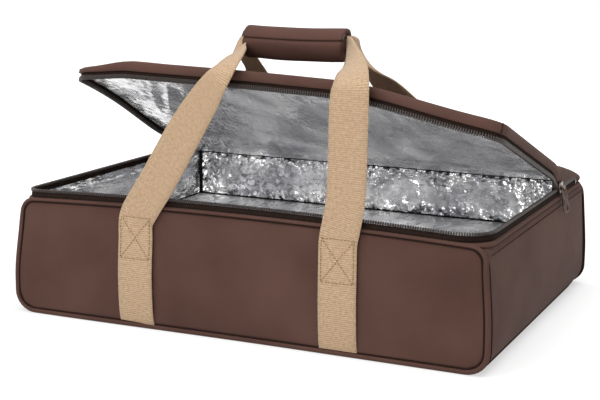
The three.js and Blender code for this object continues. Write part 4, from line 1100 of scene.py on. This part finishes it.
def sleeve(name, radius, thickness, start_deg, end_deg, material, wobble=0.0, swell=0.0, sewn=0.0):
    """A rolled layer of the handle wrap between two angles round its axis, swollen along its lower front, and sewn
    down along its back edge."""
    start, end = math.radians(start_deg), math.radians(end_deg)
    turns = max(4, math.ceil((end - start) * radius / (2.5 * MM)))
    length = WRAP_HIGH.x - WRAP_LOW.x
    steps = 28
    hang = 1.2 * MM
    sewn_deg, swell_deg, thin_deg = (38, 58), (157, 163), (230, 290)
    rings = []
    for k in range(steps + 1):
        x = WRAP_LOW.x + length * k / steps
        centre = Vector((x, HANDLE.y, HANDLE.z - hang * math.sin(math.pi * k / steps)))
        outer = []
        inner = []
        for j in range(turns + 1):
            angle = start + (end - start) * j / turns
            direction = Vector((0, math.cos(angle), math.sin(angle)))
            degrees = math.degrees(angle)
            wave = wobble * noise.noise(Vector((x / (40 * MM), angle * 1.3, 7.0)))
            wave -= sewn * (1 - smooth_share(degrees, *sewn_deg))
            fat = swell * smooth_share(degrees, *swell_deg) * (1 - smooth_share(degrees, *thin_deg))
            outer.append(centre + direction * (radius + thickness + wave + fat))
            inner.append(centre + direction * (radius + wave))
        rings.append(outer + inner[::-1])
    return ringed(name, rings, material)


def add_handle():
    """Both webbing runs inside a padded sleeve, closed by a flap along its front."""
    wrap = sleeve("wrap_sleeve", 11 * MM, 3.0 * MM, 126, 472, wrap_cloth, wobble=0.8 * MM, swell=3.3 * MM)
    placed(subdivided(wrap), "handle", "outer_fabric", "handle_wrap")
    for kind, radius, thickness, body in (("loop", 14.1 * MM, 0.6 * MM, "handle"),
                                          ("hook", 14.9 * MM, 0.5 * MM, "wrap_flap")):
        placed(sleeve(f"{kind}_tape", radius, thickness, 129, 154, hook_nylon), body, "binding", f"{kind}_strip")
    flap = sleeve("wrap_flap_cloth", 15.5 * MM, 1.8 * MM, 34, 158, wrap_cloth, wobble=0.4 * MM, sewn=2.6 * MM)
    fold_start = Vector((HANDLE.x, HANDLE.y + 9.5 * MM, HANDLE.z))
    fold_end = fold_start - Vector((0, 5 * MM, 0))
    blended(subdivided(flap), "handle", "wrap_flap", fold_start, fold_end, "outer_fabric", "handle_flap")
    for end, _ in ENDS:
        low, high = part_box(f"{end}_grip_webbing")
        y = (low.y + high.y) / 2
        half, thin = (high.z - low.z) / 2, (high.y - low.y) / 2
        profile = [(-thin, -half), (thin, -half), (thin, half), (-thin, half)]
        run = swept(f"{end}_grip_run", straight((low.x, y, HANDLE.z), (high.x, y, HANDLE.z)), profile, tan_webbing)
        placed(run, "handle", "webbing", f"{end}_grip_webbing")


# Slider, stops and base pad

def softened(name, node, body, slot, bevel, material, segments=2, ceiling=None):
    """A copy of a frame piece with its edges rounded, cut down to a ceiling if there is one."""
    bm = bmesh.new()
    bm.from_mesh(frame["nodes"][node].data)
    bmesh.ops.remove_doubles(bm, verts=bm.verts, dist=0.01 * MM)
    bmesh.ops.dissolve_limit(bm, angle_limit=math.radians(2), verts=bm.verts, edges=bm.edges)
    if ceiling:
        for vert in bm.verts:
            vert.co.z = min(vert.co.z, ceiling)
    bevel_sharp(bm, 35, bevel, segments)
    piece = to_object(bm, name, material)
    placed(piece, body, slot, node)
    return piece


def add_pull():
    """The pull: a long tab with an eye at either end, hanging a little turned towards the front."""
    low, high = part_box("zip_pull")
    top = Vector(JOINTS["pull_swing"]["pos_m"])
    length, half, thickness = 27 * MM, 4.8 * MM, 1.5 * MM
    neck, head, corner, foot_corner = 0.7 * half, 2.4 * MM, 2 * MM, 0.92 * half
    outline = filleted([(-neck, 0, head), (neck, 0, head), (half, 0, -length), (-half, 0, -length)],
                       [corner, corner, foot_corner, foot_corner], 0.8 * MM, closed=True)
    loops = [outline]
    for eye_z, radius in ((-length + 5.0 * MM, 2.9 * MM), (-2.6 * MM, 1.5 * MM)):
        loops.append([(x, 0, eye_z + z) for x, z in round_profile(radius, 16)])
    bm = bmesh.new()
    edges = []
    for loop in loops:
        ring = [bm.verts.new(p) for p in loop]
        edges += [bm.edges.new((ring[i - 1], ring[i])) for i in range(len(ring))]
    bmesh.ops.triangle_fill(bm, edges=edges, use_beauty=True, normal=(0, -1, 0))
    bmesh.ops.solidify(bm, geom=bm.faces[:], thickness=thickness)
    bmesh.ops.recalc_face_normals(bm, faces=bm.faces)
    bevel_sharp(bm, 60, 0.35 * MM, 2)
    lean = math.atan2((high.x + low.x) / 2 - top.x, top.z - (high.z + low.z) / 2)
    turned_deg = 62
    turn = Matrix.Rotation(-lean, 4, "Y") @ Matrix.Rotation(math.radians(turned_deg), 4, "Z")
    bmesh.ops.transform(bm, matrix=Matrix.Translation(top) @ turn, verts=bm.verts)
    placed(to_object(bm, "pull_tab", slider_zinc, smooth=False), "pull", "zip_metal", "zip_pull")


def add_small_parts():
    """Slider, pull and end stops in lacquered metal, and the foam pad under the floor."""
    add_pull()
    softened("slider_casting", "zip_slider", "slider", "zip_metal", 0.35 * MM, slider_zinc)
    for hand, _ in SIDES:
        softened(f"{hand}_end_stop", f"zip_stop_{hand}", "bag", "zip_metal", 0.35 * MM, slider_zinc,
                 ceiling=COIL_HIGH.z + 1 * MM)
    pad = softened("base_foam_pad", "base_pad", "bag", "foam", 4 * MM, white_foam, segments=4)


# Floor, world and lamps

def background_rays(node):
    """1 for the rays that show the white background: seen directly, in a reflection or through glass."""
    rays = node("LightPath", out=None)
    seen = node("Math", {"operation": "MAXIMUM"}, {0: rays["Is Camera Ray"], 1: rays["Is Glossy Ray"]})
    return node("Math", {"operation": "MAXIMUM"}, {0: seen, 1: rays["Is Transmission Ray"]})


def white_floor(node):
    """Plain white paper: it shows as white further out and keeps the soft shadow near the bag."""
    seen = background_rays(node)
    plain = node("BsdfDiffuse", inputs={"Color": (0.8, 0.8, 0.8, 1)})
    dim = node("BsdfDiffuse", inputs={"Color": (0.5, 0.5, 0.5, 1)})
    away = node("VectorMath", {"operation": "LENGTH"}, {0: node("TexCoord", out="Object")}, "Value")
    level = node("MapRange", inputs={"Value": away, "From Min": 0.35, "From Max": 1.0, "To Min": 0.52, "To Max": 1.0})
    glow = node("Emission", inputs={"Color": (1, 1, 1, 1), "Strength": level})
    lit = node("AddShader", inputs={0: dim, 1: glow})
    mixed = node("MixShader", inputs={0: seen, 1: plain, 2: lit})
    node("OutputMaterial", inputs={"Surface": mixed}, out=None)


def add_stage():
    """The floor, and a white world that lights the bag less than it shows."""
    bm = bmesh.new()
    bmesh.ops.create_grid(bm, x_segments=1, y_segments=1, size=6)
    to_object(bm, "studio_floor", finished("white_floor", white_floor), smooth=False)
    world = bpy.data.worlds.new("white_studio")
    node = node_adder(world)
    strength = node("MapRange", inputs={"Value": background_rays(node), "To Min": 0.45, "To Max": 1.0})
    sky = node("Background", inputs={"Color": (1, 1, 1, 1), "Strength": strength})
    node("OutputWorld", inputs={"Surface": sky}, out=None)
    bpy.context.scene.world = world


def add_lamp(name, place, target, size, watts):
    """A square softbox aimed at a point."""
    data = bpy.data.lights.new(name, "AREA")
    data.size = size
    data.energy = watts
    lamp = bpy.data.objects.new(name, data)
    lamp.location = place
    lamp.rotation_euler = (Vector(target) - Vector(place)).to_track_quat("-Z", "Y").to_euler()
    bpy.context.scene.collection.objects.link(lamp)


add_camera()
add_stage()
add_lamp("key_softbox", (-1.0, -1.8, 1.95), (0, 0, 0.1), 1.3, 25)
add_lamp("top_softbox", (0.2, 0.0, 1.9), (0, 0, 0), 1.4, 27)
add_lamp("front_softbox", (0.3, -2.2, 1.05), (0, 0, 0.12), 1.2, 15)
add_lamp("low_softbox", (0.1, -2.3, 0.35), (0, 0, 0.15), 0.8, 7)
add_lamp("side_softbox", (1.9, -0.7, 1.0), (0.1, 0, 0.1), 1.0, 5)
bpy.context.scene.view_settings.view_transform = "Standard"

for end_name, end_side in ENDS:
    add_end_pad(end_name, end_side)
add_gusset_pad()
for hand_name, hand_side in SIDES:
    add_base_welt(hand_name, hand_side)
for end_name, end_side in ENDS:
    add_piping(end_name, end_side)
add_rim_strip()
add_rim_corner()
add_body_zip()
add_lid_zip()
add_lid_cover()
add_lid_band()
add_lid_lining()
add_wall_lining("front", Vector((0, -1, 0)), INSIDE_X, INSIDE_Y, 150, 1.0)
add_wall_lining("back", Vector((0, 1, 0)), INSIDE_X, INSIDE_Y, 150, 2.0)
add_wall_lining("left", Vector((-1, 0, 0)), INSIDE_Y, INSIDE_X, 110, 3.0)
add_wall_lining("right", Vector((1, 0, 0)), INSIDE_Y, INSIDE_X, 110, 4.0)
add_floor_lining()
add_bindings()
for end_name, end_side in ENDS:
    for hand_name, hand_side in SIDES:
        add_strap(end_name, end_side, hand_name, hand_side)
add_handle()
add_small_parts()
